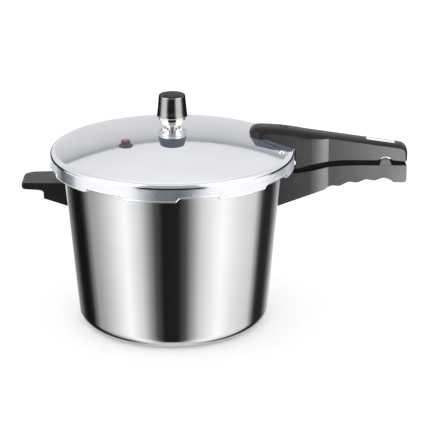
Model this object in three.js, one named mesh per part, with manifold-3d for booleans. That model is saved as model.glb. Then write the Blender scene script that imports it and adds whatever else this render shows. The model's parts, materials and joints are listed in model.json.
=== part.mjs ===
// Stovetop pressure cooker with an outside bayonet lid, a weight valve, a safety plug with a
// pressure pin, a long two-part handle and a short helper handle.
// Millimetres, +Z up. The origin is on the pot's axis, in the plane that the pot stands on.
// The long handle points along +X and the helper handle along -X.
import * as THREE from 'three';
import { mergeVertices } from 'three/addons/utils/BufferGeometryUtils.js';
import Module from 'manifold-3d';

const wasm = await Module();
wasm.setup();

// ---- Driving dimensions -------------------------------------------------------------------

// Clearances
const SEAT = 0.3; // between pieces that rest on or sit in each other
const SLIDE = 0.3; // between the lid's hooks and the pot's lugs above them
const BAND_CLEARANCE = 1.5; // from the pot's lugs out to the lid's band
const RIM_CLEARANCE = 1.2; // from the lid's band out to the upper handle's skirt
const GROOVE_CLEARANCE = 3.3; // round the guide ridge, inside the upper handle's groove
const PIN_CLEARANCE = 0.3; // round the pressure pin

// Pot
const POT_HEIGHT = 163.6; // floor plane to the top of the rim
const POT_RADIUS = 107.4; // outside, under the rim
const BASE_RADIUS = 94.8; // outside, just above the bottom corner
const CORNER_RADIUS = 12.8; // outside, between base and wall
const POT_WALL = 2.2;
const FLOOR_THICKNESS = 3;
const FLANGE_THICKNESS = 2.7;
const FLANGE_REACH = 3.1; // outward from the wall, all round
const LUG_REACH = 6; // further outward, at the lugs

// Bayonet
const LUG_COUNT = 8;
const POT_LUG_ANGLE = 16.5; // degrees, one lug of the pot
const LID_LUG_ANGLE = 28; // degrees, one lug of the lid where it leaves the band
const LUG_PHASE = -9.45; // degrees, first lug's centre from +X
const HOOK_THICKNESS = 2.3;
const HOOK_ENGAGEMENT = 5; // of the lid's hooks under the pot's lugs
const BAND_STEP = 3.5; // the lugs hang this far below the band's edge
const LUG_TAPER = 4.2; // sideways slope of a lug's end over that step

// Lid
const LID_WALL = 2;
const LID_CROWN = 1.6; // rise from the shoulder to the centre
const SHOULDER_RADIUS = 4.5;
const GASKET_HEIGHT = 10.2;
const GASKET_WIDTH = 8;
const GASKET_LIP = 1.6; // depth of the pressure groove in the gasket's inner side
const GASKET_RIB_WIDTH = 2; // rib under the lid that keeps the gasket from slipping inward
const GASKET_RIB_DEPTH = 5;

// Long handle
const HANDLE_WIDTH = 28; // at its nose and root
const HANDLE_REACH = 110.5; // from the lid's band to the handle's end
const NOSE_REACH = 45; // from the lid's band inward to the handle's nose
const NOSE_RISE = 22.4; // top of the nose above the lid's edge
const END_RISE = 4.3; // top of the handle's end above the lid's edge
const NOSE_RADIUS = 11;
const END_RADIUS = 9;
const HANDLE_SIDE_WALL = 4.4;
const WAIST_REACH = 14; // from the lid's band to where both long handles start to narrow
const WAIST_LENGTH = 19; // over which they narrow
const WAIST_DEPTH = 2; // on either side
const HANDLE_ROOF = 6; // thickness of its top over the bracket
const CREASE_RISE = 11; // side edge of the nose above the lid's edge
const CREASE_SLOPE = 0.333; // fall of that edge toward the band
const GRIP_BOTTOM = 10.1; // underside of the upper grip below the lid's edge
const SKIRT_DROP = 18.2; // lowest point of the upper handle's skirt below the lid's edge
const HANDLE_GAP = 5.5; // open space between upper and lower grip
const LOWER_WIDTH = 26; // at its root
const LOWER_END_INSET = 0.7; // the lower grip ends short of the upper one
const LOWER_ROOT_TOP = 23.4; // top of the lower handle's root below the lid's edge
const LOWER_ROOT_HEIGHT = 34.6; // of the lower handle where it meets the pot
const LOWER_END_HEIGHT = 18; // of the lower grip at its end
const LOWER_END_BLOCK = 12; // length of the deeper block at its end
const LOWER_FINGER_HEIGHT = 23.7; // of the lower grip where the finger line starts
const FINGER_PITCH = 17;
const FINGER_DEPTH = 1;
const FINGER_COUNT = 3;
const FINGER_RISE = 4.8; // of the finger line over the first finger, toward the end
const FINGER_FLATTENING = 0.6; // by which the line rises less with each finger
const FINGERS_FROM_END = 18.8; // where the finger line ends, from the lower grip's end
const RIDGE_FROM_END = 21.5; // guide ridge and its groove, from the handle's end
const RIDGE_RADIUS = 5.6;
const RIDGE_WIDTH = 7; // across the handle, from its front side inward
const LABEL_LENGTH = 28;
const LABEL_WIDTH = 7;
const LABEL_THICKNESS = 1.2;
const LABEL_FROM_END = 26.5; // middle of the blank label plate, from the handle's end

// Helper handle
const HELPER_REACH = 27.8; // from the lid's band
const HELPER_WIDTH = 37.4;
const HELPER_TOP_DROP = 31.4; // its top below the lid's edge
const HELPER_GRIP = 6.5; // thickness of the grip plate
const HELPER_ROOT = 22; // height of the root at the pot
const HELPER_FRONT_CORNER = 3.5; // corner radii seen from above
const HELPER_BACK_CORNER = 14;
const HELPER_FRONT_FLARE = 1; // its root is wider than its end
const HELPER_BACK_FLARE = 3;

// Brackets, rivets and screws
const BRACKET_PLATE = 3; // thickness of the plate against the pot
const STUB_WIDTH = 12;
const PLATE_WIDTH = 17;
const RIVET_RADIUS = 2.2;
const RIVET_HEAD_RADIUS = 4.2;
const RIVET_HEAD_HEIGHT = 1.6;
const LID_RIVET_HEAD_RADIUS = 3.2;
const RIVET_EDGE = 3.6; // from a rivet's axis to the edge of its plate
const SCREW_RADIUS = 2.4;
const SCREW_HEAD_RADIUS = 4.4;
const SCREW_HEAD_HEIGHT = 2.8;
const LID_BRACKET_SHEET = 2;
const NUT_RADIUS = 4.6; // across corners
const NUT_HEIGHT = 3.6;
const LOWER_STUB_HEIGHT = 10;
const LOWER_SCREW_REACH = 13; // from the pot's wall to the screw's axis
const LOWER_SCREW_DEPTH = 9.5; // screw head's bearing face above the root's underside
const HELPER_STUB_HEIGHT = 5;
const HELPER_SCREW_REACH = 9;
const HELPER_SCREW_DROP = 15; // screw head's bearing face below the helper's top

// Vent and weight valve
const CUP_RIM_RADIUS = 14.3;
const CUP_WALL = 0.9; // sheet of the bright bowl
const CUP_LIP = 4.6; // height of the bowl's rim over its rubber base
const VENT_BASE_RIM_RADIUS = 13.9;
const VENT_BASE_RADIUS = 11.9; // where the rubber base stands on the lid
const VENT_BASE_HEIGHT = 9.4;
const VENT_BASE_WALL = 2.2;
const VENT_BASE_FLOOR = 1.6;
const VENT_RADIUS = 3.3; // of the post that carries the weight
const VENT_THREAD_RADIUS = 4.2;
const VENT_BORE = 1.3;
const VENT_HEIGHT = 26.7; // post above the lid
const VENT_HEX = 7.4; // across corners
const VENT_HEX_HEIGHT = 2.6;
const VENT_SEAL_RADIUS = 9;
const VENT_SEAL_THICKNESS = 1.2;
const VENT_NUT_RADIUS = 8; // across corners
const VENT_NUT_HEIGHT = 5;
const VENT_TAIL = 3; // of the vent's thread below its nut
const CASTLE_RADIUS = 7.9;
const CASTLE_HEIGHT = 5.3;
const CASTLE_SLOTS = 12;
const CASTLE_SLOT_WIDTH = 1.9;
const CASTLE_SLOT_HEIGHT = 3.6;
const BODY_RADIUS = 13.8;
const BODY_BAND = 7; // bright band showing under the cap
const BODY_NECK_RADIUS = 8.2;
const BODY_NECK_HEIGHT = 11;
const BODY_DROP = 4.4; // the weight's body hangs this far below the vent's tip
const INSERT_ROOF = 3; // thickness of the insert over the vent's tip
const INSERT_WALL = 1.3;
const INSERT_CLEARANCE = 0.8; // between the insert and the vent
const CAP_BASE_RADIUS = 14.9;
const CAP_TOP_RADIUS = 12.9;
const CAP_HEIGHT = 21.7;
const CAP_DOME = 1.2;

// Safety plug and pressure pin
const PLUG_X = -45.5;
const PLUG_Y = -6;
const PLUG_RADIUS = 7.2;
const PLUG_TOP_RADIUS = 4.1;
const PLUG_HEIGHT = 6.4;
const PLUG_NECK_RADIUS = 4.9;
const PLUG_FLANGE_RADIUS = 7.6;
const PLUG_FLANGE_HEIGHT = 4;
const PIN_HEAD_RADIUS = 2.65;
const PIN_SHAFT_RADIUS = 1.9;
const PIN_HEAD_HEIGHT = 4;
const PIN_TRAVEL = 4;
const CLIP_RADIUS = 4.6;
const CLIP_THICKNESS = 1;

// Facets round a full turn
const FACETS_LARGE = 64; // pot, lid and gasket
const FACETS_MEDIUM = 28; // valve pieces
const FACETS_SMALL = 14; // rivets, screws and bores

// ---- Sizes that follow --------------------------------------------------------------------

const FLANGE_RADIUS = POT_RADIUS + FLANGE_REACH;
const LUG_RADIUS = FLANGE_RADIUS + LUG_REACH;
const BAND_INNER_RADIUS = LUG_RADIUS + BAND_CLEARANCE;
const RIM_RADIUS = BAND_INNER_RADIUS + LID_WALL;
const HOOK_RADIUS = LUG_RADIUS - HOOK_ENGAGEMENT;
const FLANGE_BOTTOM = POT_HEIGHT - FLANGE_THICKNESS;
const HOOK_TOP = FLANGE_BOTTOM - SLIDE;
const BAND_BOTTOM = HOOK_TOP - HOOK_THICKNESS;
const LID_EDGE = POT_HEIGHT + GASKET_HEIGHT + 2 * SEAT + LID_WALL;
const LID_FLAT_RADIUS = RIM_RADIUS - SHOULDER_RADIUS;
const LID_TOP = LID_EDGE + LID_CROWN;
const HANDLE_END = RIM_RADIUS + HANDLE_REACH;
const NOSE_X = RIM_RADIUS - NOSE_REACH;
const LUG_PITCH = 360 / LUG_COUNT;
const RIDGE_X = HANDLE_END - RIDGE_FROM_END;
const RIVET_BORE = RIVET_RADIUS + SEAT;
const SCREW_BORE = SCREW_RADIUS + SEAT;

// ---- Materials ----------------------------------------------------------------------------

const material = (color, roughness, metalness) =>
  new THREE.MeshStandardMaterial({ color, roughness, metalness });
const POLISHED_ALUMINIUM = material(0xd9dadc, 0.12, 1);
const BRUSHED_ALUMINIUM = material(0xc9cbce, 0.35, 1);
const CHROME = material(0xd5d7da, 0.06, 1);
const STEEL = material(0xa9abae, 0.3, 1);
const BRASS = material(0xb08a4a, 0.3, 1);
const BAKELITE = material(0x232226, 0.45, 0);
const BLACK_CHROME = material(0x2c2b2b, 0.12, 1);
const BLACK_RUBBER = material(0x1d1d1f, 0.75, 0);
const GREY_RUBBER = material(0x55575a, 0.8, 0);
const SLATE_RUBBER = material(0x4a535e, 0.55, 0);
const RED_SILICONE = material(0xc9304a, 0.5, 0);
const PLAIN_LABEL = material(0xe6e6e0, 0.5, 0);

// ---- Geometry helpers ---------------------------------------------------------------------

const radians = THREE.MathUtils.degToRad;

// A closed, vertex-merged geometry as a manifold solid.
function toSolid(geometry) {
  const bare = geometry.clone();
  bare.deleteAttribute('normal');
  bare.deleteAttribute('uv');
  const merged = mergeVertices(bare, 1e-4);
  const index = Array.from(merged.index.array);
  const triangles = [];
  for (let i = 0; i < index.length; i += 3) {
    const [a, b, c] = index.slice(i, i + 3);
    const collapsed = a === b || b === c || c === a;
    if (!collapsed) triangles.push(a, b, c);
  }
  const vertProperties = new Float32Array(merged.attributes.position.array);
  const triVerts = new Uint32Array(triangles);
  return new wasm.Manifold(new wasm.Mesh({ numProp: 3, vertProperties, triVerts }));
}

// A named mesh from a solid.
function piece(name, solid, look) {
  const { vertProperties, triVerts } = solid.getMesh();
  const geometry = new THREE.BufferGeometry();
  geometry.setAttribute('position', new THREE.BufferAttribute(new Float32Array(vertProperties), 3));
  geometry.setIndex(new THREE.BufferAttribute(new Uint32Array(triVerts), 1));
  geometry.computeVertexNormals();
  const mesh = new THREE.Mesh(geometry, look.clone());
  mesh.name = name;
  return mesh;
}

// Points [x, z] along an arc, both ends included; angles in degrees from +x toward +z.
function arc(x, z, radius, from, to, steps) {
  return Array.from({ length: steps + 1 }, (_, i) => {
    const a = radians(from + ((to - from) * i) / steps);
    return [x + radius * Math.cos(a), z + radius * Math.sin(a)];
  });
}

// Points along a quadratic curve, both ends included.
function bend(from, control, to, steps) {
  const curve = new THREE.QuadraticBezierCurve(
    new THREE.Vector2(...from), new THREE.Vector2(...control), new THREE.Vector2(...to));
  return curve.getPoints(steps).map((p) => [p.x, p.y]);
}

const signedArea = (points) => points.reduce((sum, [x, y], i) => {
  const [nextX, nextY] = points[(i + 1) % points.length];
  return sum + (x * nextY - nextX * y) / 2;
}, 0);

// Solid of revolution about Z from an outline of [radius, z] points.
function revolve(outline, segments = FACETS_LARGE) {
  const ordered = signedArea(outline) > 0 ? [...outline] : [...outline].reverse();
  const axisStart = ordered.findIndex(([r], i) => r === 0 && ordered.at(i - 1)[0] === 0);
  const turned = axisStart < 0 ? ordered : [...ordered.slice(axisStart), ...ordered.slice(0, axisStart)];
  const points = turned.map(([r, z]) => new THREE.Vector2(r, z));
  if (axisStart < 0) points.push(points[0].clone());
  return toSolid(new THREE.LatheGeometry(points, segments).rotateX(Math.PI / 2));
}

const toShape = (points) => new THREE.Shape(points.map(([x, y]) => new THREE.Vector2(x, y)));

// Upright prism from a plan outline of [x, y] points.
const prism = (plan, bottom, top) => toSolid(
  new THREE.ExtrudeGeometry(toShape(plan), { depth: top - bottom, bevelEnabled: false })
    .translate(0, 0, bottom));

// Slab from a side outline of [x, z] points, centred on y = 0, with optional rounded side edges.
function slab(side, width, rounding) {
  const { inward = 0, across = 0, segments = 1 } = rounding ?? {};
  const options = {
    depth: width - 2 * across,
    bevelEnabled: across > 0,
    bevelSize: inward,
    bevelOffset: -inward,
    bevelThickness: across,
    bevelSegments: segments,
  };
  const geometry = new THREE.ExtrudeGeometry(toShape(side), options);
  return toSolid(geometry.translate(0, 0, across - width / 2).rotateX(Math.PI / 2));
}

// Upright cylinder at (x, y) between two heights.
function post(radius, bottom, top, x = 0, y = 0, sides = FACETS_SMALL) {
  const geometry = new THREE.CylinderGeometry(radius, radius, top - bottom, sides).rotateX(Math.PI / 2);
  return toSolid(geometry.translate(x, y, (top + bottom) / 2));
}

// Cylinder along X between two x values.
function pinAlongX(radius, from, to, z, sides = FACETS_SMALL) {
  const geometry = new THREE.CylinderGeometry(radius, radius, Math.abs(to - from), sides);
  return toSolid(geometry.rotateZ(Math.PI / 2).translate((from + to) / 2, 0, z));
}

// Plan outline of a ring sector, angles in degrees.
function sectorPlan(inner, outer, from, to, steps) {
  return [...arc(0, 0, outer, from, to, steps), ...arc(0, 0, inner, to, from, steps)];
}

const lugAngles = Array.from({ length: LUG_COUNT }, (_, i) => LUG_PHASE + i * LUG_PITCH);

const cookerHeight = LID_TOP + 100; // above everything, for cutting tools
const halfSpace = 3 * RIM_RADIUS; // wider than everything, for cutting tools

// ---- Pot ----------------------------------------------------------------------------------

const wallLean = Math.atan((POT_RADIUS - BASE_RADIUS) / (FLANGE_BOTTOM - CORNER_RADIUS));
const wallLeanDegrees = THREE.MathUtils.radToDeg(wallLean);

// Outside radius of the pot's wall at a height.
const wallRadius = (z) => BASE_RADIUS + (z - CORNER_RADIUS) * Math.tan(wallLean);

// Outline of the pot's outside up to a height, grown outward by a margin.
function potOutside(top, margin) {
  const cornerX = wallRadius(CORNER_RADIUS) - CORNER_RADIUS / Math.cos(wallLean);
  const corner = arc(cornerX, CORNER_RADIUS, CORNER_RADIUS + margin, -90, -wallLeanDegrees, 5);
  return [[0, -margin], ...corner, [wallRadius(top) + margin / Math.cos(wallLean), top]];
}

// Outline of the pot's inside, from the mouth down to the middle of the floor.
function potInside() {
  const innerCorner = CORNER_RADIUS - POT_WALL;
  const inset = POT_WALL / Math.cos(wallLean);
  const cornerX = wallRadius(CORNER_RADIUS) - CORNER_RADIUS / Math.cos(wallLean);
  const corner = arc(cornerX, FLOOR_THICKNESS + innerCorner, innerCorner, -wallLeanDegrees, -90, 4);
  return [[wallRadius(POT_HEIGHT) - inset, POT_HEIGHT], ...corner, [0, FLOOR_THICKNESS]];
}

function potBody(rivetCuts) {
  const outline = [
    ...potOutside(FLANGE_BOTTOM, 0),
    [FLANGE_RADIUS, FLANGE_BOTTOM],
    [FLANGE_RADIUS, POT_HEIGHT],
    ...potInside(),
  ];
  let body = revolve(outline);
  for (const angle of lugAngles) {
    const half = POT_LUG_ANGLE / 2;
    const plan = sectorPlan(FLANGE_RADIUS - 1, LUG_RADIUS, angle - half, angle + half, 4);
    body = body.add(prism(plan, FLANGE_BOTTOM, POT_HEIGHT));
  }
  return rivetCuts.reduce((solid, cut) => solid.subtract(cut), body);
}

// Everything that the pot's outside takes up, grown by the seat clearance.
const potEnvelope = () => revolve([...potOutside(FLANGE_BOTTOM, SEAT), [0, FLANGE_BOTTOM]]);

// ---- Handle brackets on the pot -------------------------------------------------------------

// Where a bracket sits: side is 1 for +X and -1 for -X, and screwReach is its screw's distance
// from the pot's wall.
function bracketPlace({ side, plateBottom, plateTop, stubHeight, screwReach }) {
  const screwX = wallRadius(plateTop) + screwReach;
  return {
    side,
    plateBottom,
    plateTop,
    stubHeight,
    stubMiddle: (plateBottom + plateTop) / 2,
    stubEnd: screwX + 2.6 * SCREW_RADIUS,
    screwX,
    rivetHeights: [plateBottom + RIVET_EDGE, plateTop - RIVET_EDGE],
  };
}

// The bracket's blank, grown by a margin: a plate on the pot's wall with a stub for the screw.
function bracketBlank(place, margin) {
  const inner = wallRadius(place.plateBottom) - BRACKET_PLATE;
  const lean = Math.tan(wallLean);
  const outerBottom = wallRadius(place.plateBottom) + BRACKET_PLATE + margin;
  const outerTop = wallRadius(place.plateTop) + BRACKET_PLATE + margin;
  const plate = slab([
    [inner, place.plateBottom - margin],
    [outerBottom - margin * lean, place.plateBottom - margin],
    [outerTop + margin * lean, place.plateTop + margin],
    [inner, place.plateTop + margin],
  ], PLATE_WIDTH + 2 * margin);
  const stubHalf = place.stubHeight / 2 + margin;
  const stub = slab([
    [inner, place.stubMiddle - stubHalf],
    [place.stubEnd + margin, place.stubMiddle - stubHalf],
    [place.stubEnd + margin, place.stubMiddle + stubHalf],
    [inner, place.stubMiddle + stubHalf],
  ], STUB_WIDTH + 2 * margin);
  const blank = plate.add(stub);
  return place.side > 0 ? blank : blank.rotate([0, 0, 180]);
}

function rivetBores(place) {
  return place.rivetHeights.map((z) => {
    const reach = wallRadius(z) + 2 * BRACKET_PLATE;
    return pinAlongX(RIVET_BORE, place.side * (wallRadius(z) - 4 * POT_WALL), place.side * reach, z);
  });
}

function potBracket(place) {
  const screwHole = post(SCREW_BORE, place.plateBottom - 20, cookerHeight, place.side * place.screwX);
  const cuts = [potEnvelope(), screwHole, ...rivetBores(place)];
  return cuts.reduce((solid, cut) => solid.subtract(cut), bracketBlank(place, 0));
}

// Rivet with a domed head inside the pot and its tail flush with the bracket's plate.
function potRivet(place, z) {
  const inset = POT_WALL / Math.cos(wallLean);
  const headBack = wallRadius(z - RIVET_HEAD_RADIUS) - inset - SEAT;
  const tail = wallRadius(z - RIVET_RADIUS) + BRACKET_PLATE;
  const outline = [
    [0, headBack - RIVET_HEAD_HEIGHT],
    [RIVET_HEAD_RADIUS * 0.7, headBack - RIVET_HEAD_HEIGHT * 0.8],
    [RIVET_HEAD_RADIUS, headBack - RIVET_HEAD_HEIGHT * 0.3],
    [RIVET_HEAD_RADIUS, headBack],
    [RIVET_RADIUS, headBack],
    [RIVET_RADIUS, tail],
    [0, tail],
  ];
  const solid = revolve(outline, FACETS_SMALL).rotate([0, 90, 0]).translate([0, 0, z]);
  return place.side > 0 ? solid : solid.rotate([0, 0, 180]);
}

// Pan-head screw from below: its head bears upward and its shank ends inside the stub.
function screwFromBelow(place, headTop) {
  const tip = place.stubMiddle + place.stubHeight / 2 - SEAT;
  const outline = [
    [0, headTop - SCREW_HEAD_HEIGHT],
    [SCREW_HEAD_RADIUS * 0.8, headTop - SCREW_HEAD_HEIGHT],
    [SCREW_HEAD_RADIUS, headTop - SCREW_HEAD_HEIGHT * 0.6],
    [SCREW_HEAD_RADIUS, headTop],
    [SCREW_RADIUS, headTop],
    [SCREW_RADIUS, tip],
    [0, tip],
  ];
  return revolve(outline, FACETS_SMALL).translate([place.side * place.screwX, 0, 0]);
}

// Cuts that seat a bakelite handle on its bracket and take its screw.
function handleMountCuts(place, headTop) {
  const x = place.side * place.screwX;
  return [
    potEnvelope(),
    bracketBlank(place, SEAT),
    post(SCREW_BORE, place.plateBottom - 20, place.stubMiddle, x),
    post(SCREW_HEAD_RADIUS + SEAT, place.plateBottom - 20, headTop + SEAT, x),
  ];
}

// ---- Long handle on the pot -----------------------------------------------------------------

const gripUnderside = LID_EDGE - GRIP_BOTTOM;
const lowerGripTop = gripUnderside - HANDLE_GAP;
const lowerRootTop = LID_EDGE - LOWER_ROOT_TOP;
const lowerRootBottom = lowerRootTop - LOWER_ROOT_HEIGHT;
const lowerEnd = HANDLE_END - LOWER_END_INSET;
const lowerEndBottom = lowerGripTop - LOWER_END_HEIGHT;
const fingerLineLength = (FINGER_COUNT + 0.5) * FINGER_PITCH;
const fingersStart = lowerEnd - FINGERS_FROM_END - fingerLineLength;
const lowerBracket = bracketPlace({
  side: 1,
  plateBottom: lowerRootBottom + 5,
  plateTop: lowerRootTop - 4,
  stubHeight: LOWER_STUB_HEIGHT,
  screwReach: LOWER_SCREW_REACH,
});
const lowerScrewHeadTop = lowerRootBottom + LOWER_SCREW_DEPTH;

// Height of the scalloped underside along x.
function fingerHeight(x) {
  const along = (x - fingersStart) / FINGER_PITCH;
  const rise = FINGER_RISE * along - FINGER_FLATTENING * along * along;
  const line = lowerGripTop - LOWER_FINGER_HEIGHT + rise;
  return line + FINGER_DEPTH * Math.sin(2 * Math.PI * along);
}

function fingerLine() {
  const stepsPerFinger = 8;
  const steps = Math.round((fingerLineLength * stepsPerFinger) / FINGER_PITCH);
  return Array.from({ length: steps + 1 }, (_, i) => {
    const x = fingersStart + (i * FINGER_PITCH) / stepsPerFinger;
    return [x, fingerHeight(x)];
  });
}

// Half of a long handle's plan: full width at the root, narrower from the waist to the end.
const waistLine = (half) => [
  ...bend([RIM_RADIUS + WAIST_REACH, half], [RIM_RADIUS + WAIST_REACH + 0.6 * WAIST_LENGTH, half],
    [RIM_RADIUS + WAIST_REACH + WAIST_LENGTH, half - WAIST_DEPTH], 5),
  [HANDLE_END + 10, half - WAIST_DEPTH],
];
const mirrored = (points) => points.map(([x, y]) => [x, -y]).reverse();

// Ring about the pot's axis with a round section, in which the guide ridge turns.
const ridgeCentre = gripUnderside - RIDGE_RADIUS;
const ridgeRing = (radius) =>
  revolve(arc(RIDGE_X, ridgeCentre, radius, 0, 345, 23), 2 * FACETS_LARGE);

function lowerHandle() {
  const insidePot = POT_RADIUS - 12;
  const side = [
    [insidePot, lowerRootBottom - 2],
    [wallRadius(lowerRootBottom), lowerRootBottom],
    [fingersStart - 1.6, fingerHeight(fingersStart) - 1.7],
    ...fingerLine(),
    [lowerEnd - LOWER_END_BLOCK - 3, lowerEndBottom + 2],
    ...arc(lowerEnd - LOWER_END_BLOCK, lowerEndBottom + 2.4, 2.4, 240, 270, 2),
    ...arc(lowerEnd - 3, lowerEndBottom + 3, 3, 270, 360, 4),
    ...arc(lowerEnd - 2, lowerGripTop - 2, 2, 0, 90, 3),
    ...bend([RIM_RADIUS + 62, lowerGripTop], [RIM_RADIUS + 34, lowerGripTop],
      [RIM_RADIUS + 4, lowerRootTop + 1.6], 6),
    [insidePot, lowerRootTop],
  ];
  const waist = waistLine(LOWER_WIDTH / 2);
  const plan = prism([[0, LOWER_WIDTH / 2], ...waist, ...mirrored(waist), [0, -LOWER_WIDTH / 2]],
    0, cookerHeight);
  const ridgeFront = -LOWER_WIDTH / 2 + WAIST_DEPTH + 0.6;
  const ridgeBack = ridgeFront + RIDGE_WIDTH;
  const ridgeBand = prism([
    [0, ridgeFront], [halfSpace, ridgeFront], [halfSpace, ridgeBack], [0, ridgeBack],
  ], lowerGripTop - 3, cookerHeight);
  const grip = slab(side, LOWER_WIDTH, { inward: 1.6, across: 2.4 + WAIST_DEPTH, segments: 2 });
  const handle = grip.intersect(plan).add(ridgeRing(RIDGE_RADIUS).intersect(ridgeBand));
  const cuts = handleMountCuts(lowerBracket, lowerScrewHeadTop);
  return cuts.reduce((solid, cut) => solid.subtract(cut), handle);
}

// ---- Helper handle --------------------------------------------------------------------------

const helperTop = LID_EDGE - HELPER_TOP_DROP;
const helperEnd = RIM_RADIUS + HELPER_REACH;
const helperRootBottom = helperTop - HELPER_ROOT;
const helperBracket = bracketPlace({
  side: -1,
  plateBottom: helperRootBottom + 2.4,
  plateTop: helperTop - 1.8,
  stubHeight: HELPER_STUB_HEIGHT,
  screwReach: HELPER_SCREW_REACH,
});
const helperScrewHeadTop = helperTop - HELPER_SCREW_DROP;

function helperHandle() {
  const insidePot = POT_RADIUS - 12;
  const gripBottom = helperTop - HELPER_GRIP;
  const side = [
    [insidePot, helperRootBottom - 4],
    [wallRadius(helperRootBottom), helperRootBottom - 1],
    [RIM_RADIUS + 3.7, helperRootBottom + 5.4],
    ...arc(RIM_RADIUS + 4.2, helperRootBottom + 7.2, 1.8, -70, 0, 2),
    ...bend([RIM_RADIUS + 6.2, gripBottom - 3], [RIM_RADIUS + 7.4, gripBottom - 1],
      [RIM_RADIUS + 11, gripBottom - 0.8], 4),
    ...arc(helperEnd - 3.4, gripBottom + 3.4, 3.4, -90, 0, 4),
    ...arc(helperEnd - 2.4, helperTop - 2.4, 2.4, 0, 90, 3),
    [insidePot, helperTop],
  ];
  const half = HELPER_WIDTH / 2;
  const plan = [
    [insidePot, -half - HELPER_BACK_FLARE],
    ...arc(helperEnd - HELPER_BACK_CORNER, -half + HELPER_BACK_CORNER, HELPER_BACK_CORNER, -90, 0, 7),
    ...arc(helperEnd - HELPER_FRONT_CORNER, half - HELPER_FRONT_CORNER, HELPER_FRONT_CORNER, 0, 90, 4),
    [insidePot, half + HELPER_FRONT_FLARE],
  ];
  const grip = slab(side, 2 * HELPER_WIDTH).intersect(prism(plan, 0, cookerHeight)).rotate([0, 0, 180]);
  const cuts = handleMountCuts(helperBracket, helperScrewHeadTop);
  return cuts.reduce((solid, cut) => solid.subtract(cut), grip);
}

// ---- Lid ------------------------------------------------------------------------------------

// Height of the lid's outside at a radius inside the shoulder.
const lidHeight = (r) => LID_TOP - LID_CROWN * (r / LID_FLAT_RADIUS) ** 2;

function lidCrown(thickness) {
  const steps = 3;
  return Array.from({ length: steps + 1 }, (_, i) => {
    const r = (LID_FLAT_RADIUS * i) / steps;
    return [r, lidHeight(r) - thickness];
  });
}

const gasketOuter = BAND_INNER_RADIUS - 4.5;
const gasketInner = gasketOuter - GASKET_WIDTH;
const ribOuter = gasketInner - SEAT;
const ribInner = ribOuter - GASKET_RIB_WIDTH;

// Cutter for the open stretch of the band between two lugs, its ends sloping outward downward.
function bandGap(angle) {
  const edge = BAND_BOTTOM + BAND_STEP;
  const halfTop = RIM_RADIUS * Math.sin(radians((LUG_PITCH - LID_LUG_ANGLE) / 2));
  const drop = BAND_STEP + 4;
  const halfBottom = halfTop + (LUG_TAPER * drop) / BAND_STEP;
  const trapezoid = toShape([
    [-halfTop, edge], [-halfBottom, edge - drop], [halfBottom, edge - drop], [halfTop, edge],
  ]);
  const geometry = new THREE.ExtrudeGeometry(trapezoid, { depth: 20, bevelEnabled: false });
  const tool = toSolid(geometry.rotateX(Math.PI / 2).translate(0, RIM_RADIUS + 5, 0));
  return tool.rotate([0, 0, angle - 90]);
}

function lidShell() {
  const shoulderZ = LID_EDGE - SHOULDER_RADIUS;
  const outline = [
    ...lidCrown(0),
    ...arc(LID_FLAT_RADIUS, shoulderZ, SHOULDER_RADIUS, 90, 0, 5).slice(1),
    [RIM_RADIUS, BAND_BOTTOM + 0.6],
    [RIM_RADIUS - 0.6, BAND_BOTTOM],
    [HOOK_RADIUS, BAND_BOTTOM],
    [HOOK_RADIUS, HOOK_TOP],
    [BAND_INNER_RADIUS, HOOK_TOP],
    ...arc(LID_FLAT_RADIUS, shoulderZ, SHOULDER_RADIUS - LID_WALL, 0, 90, 3),
    ...lidCrown(LID_WALL).reverse().slice(1),
  ];
  const ribTop = lidHeight(ribInner) - LID_WALL / 2;
  const rib = revolve([
    [ribInner, ribTop - GASKET_RIB_DEPTH],
    [ribOuter, ribTop - GASKET_RIB_DEPTH],
    [ribOuter, ribTop],
    [ribInner, ribTop],
  ]);
  const gaps = lugAngles.map((angle) => bandGap(angle + LUG_PITCH / 2));
  const holes = [
    post(VENT_THREAD_RADIUS + SEAT, BAND_BOTTOM, cookerHeight),
    post(PLUG_NECK_RADIUS + SEAT, BAND_BOTTOM, cookerHeight, PLUG_X, PLUG_Y),
    ...lidRivetPlaces.map(([x, y]) => post(RIVET_BORE, BAND_BOTTOM, cookerHeight, x, y)),
  ];
  return [...gaps, ...holes].reduce((solid, cut) => solid.subtract(cut), revolve(outline).add(rib));
}

function gasket() {
  const bottom = POT_HEIGHT + SEAT;
  const top = bottom + GASKET_HEIGHT;
  const middle = (bottom + top) / 2;
  const chamfer = 1;
  return revolve([
    [gasketInner, bottom + chamfer],
    [gasketInner + chamfer, bottom],
    [gasketOuter - chamfer, bottom],
    [gasketOuter, bottom + chamfer],
    [gasketOuter, top - chamfer - SEAT],
    [gasketOuter - chamfer, top - SEAT],
    [gasketInner, top - SEAT],
    [gasketInner, middle + 1.4],
    [gasketInner + GASKET_LIP, middle],
    [gasketInner, middle - 1.4],
  ]);
}

// ---- Long handle on the lid -----------------------------------------------------------------

const noseTop = LID_EDGE + NOSE_RISE;
const endTop = LID_EDGE + END_RISE;
const topBendEnd = NOSE_X + 55;
const topBendDrop = 4.8;

// Height of the upper handle's straight top line at x.
function roofHeight(x) {
  const start = noseTop - topBendDrop;
  const finish = HANDLE_END - END_RADIUS;
  return start + ((endTop - start) * (x - topBendEnd)) / (finish - topBendEnd);
}

// Top line of the upper handle from the nose to its end, lowered by a drop.
function roofLine(from, to, drop) {
  const level = noseTop - drop;
  const curve = bend([NOSE_X + NOSE_RADIUS, level], [NOSE_X + NOSE_RADIUS + 20, level - 0.2],
    [topBendEnd, level - topBendDrop], 8);
  const inside = curve.filter(([x]) => x > from && x < to);
  return [[from, roofAt(from) - drop], ...inside, [to, roofAt(to) - drop]];
}

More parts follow.
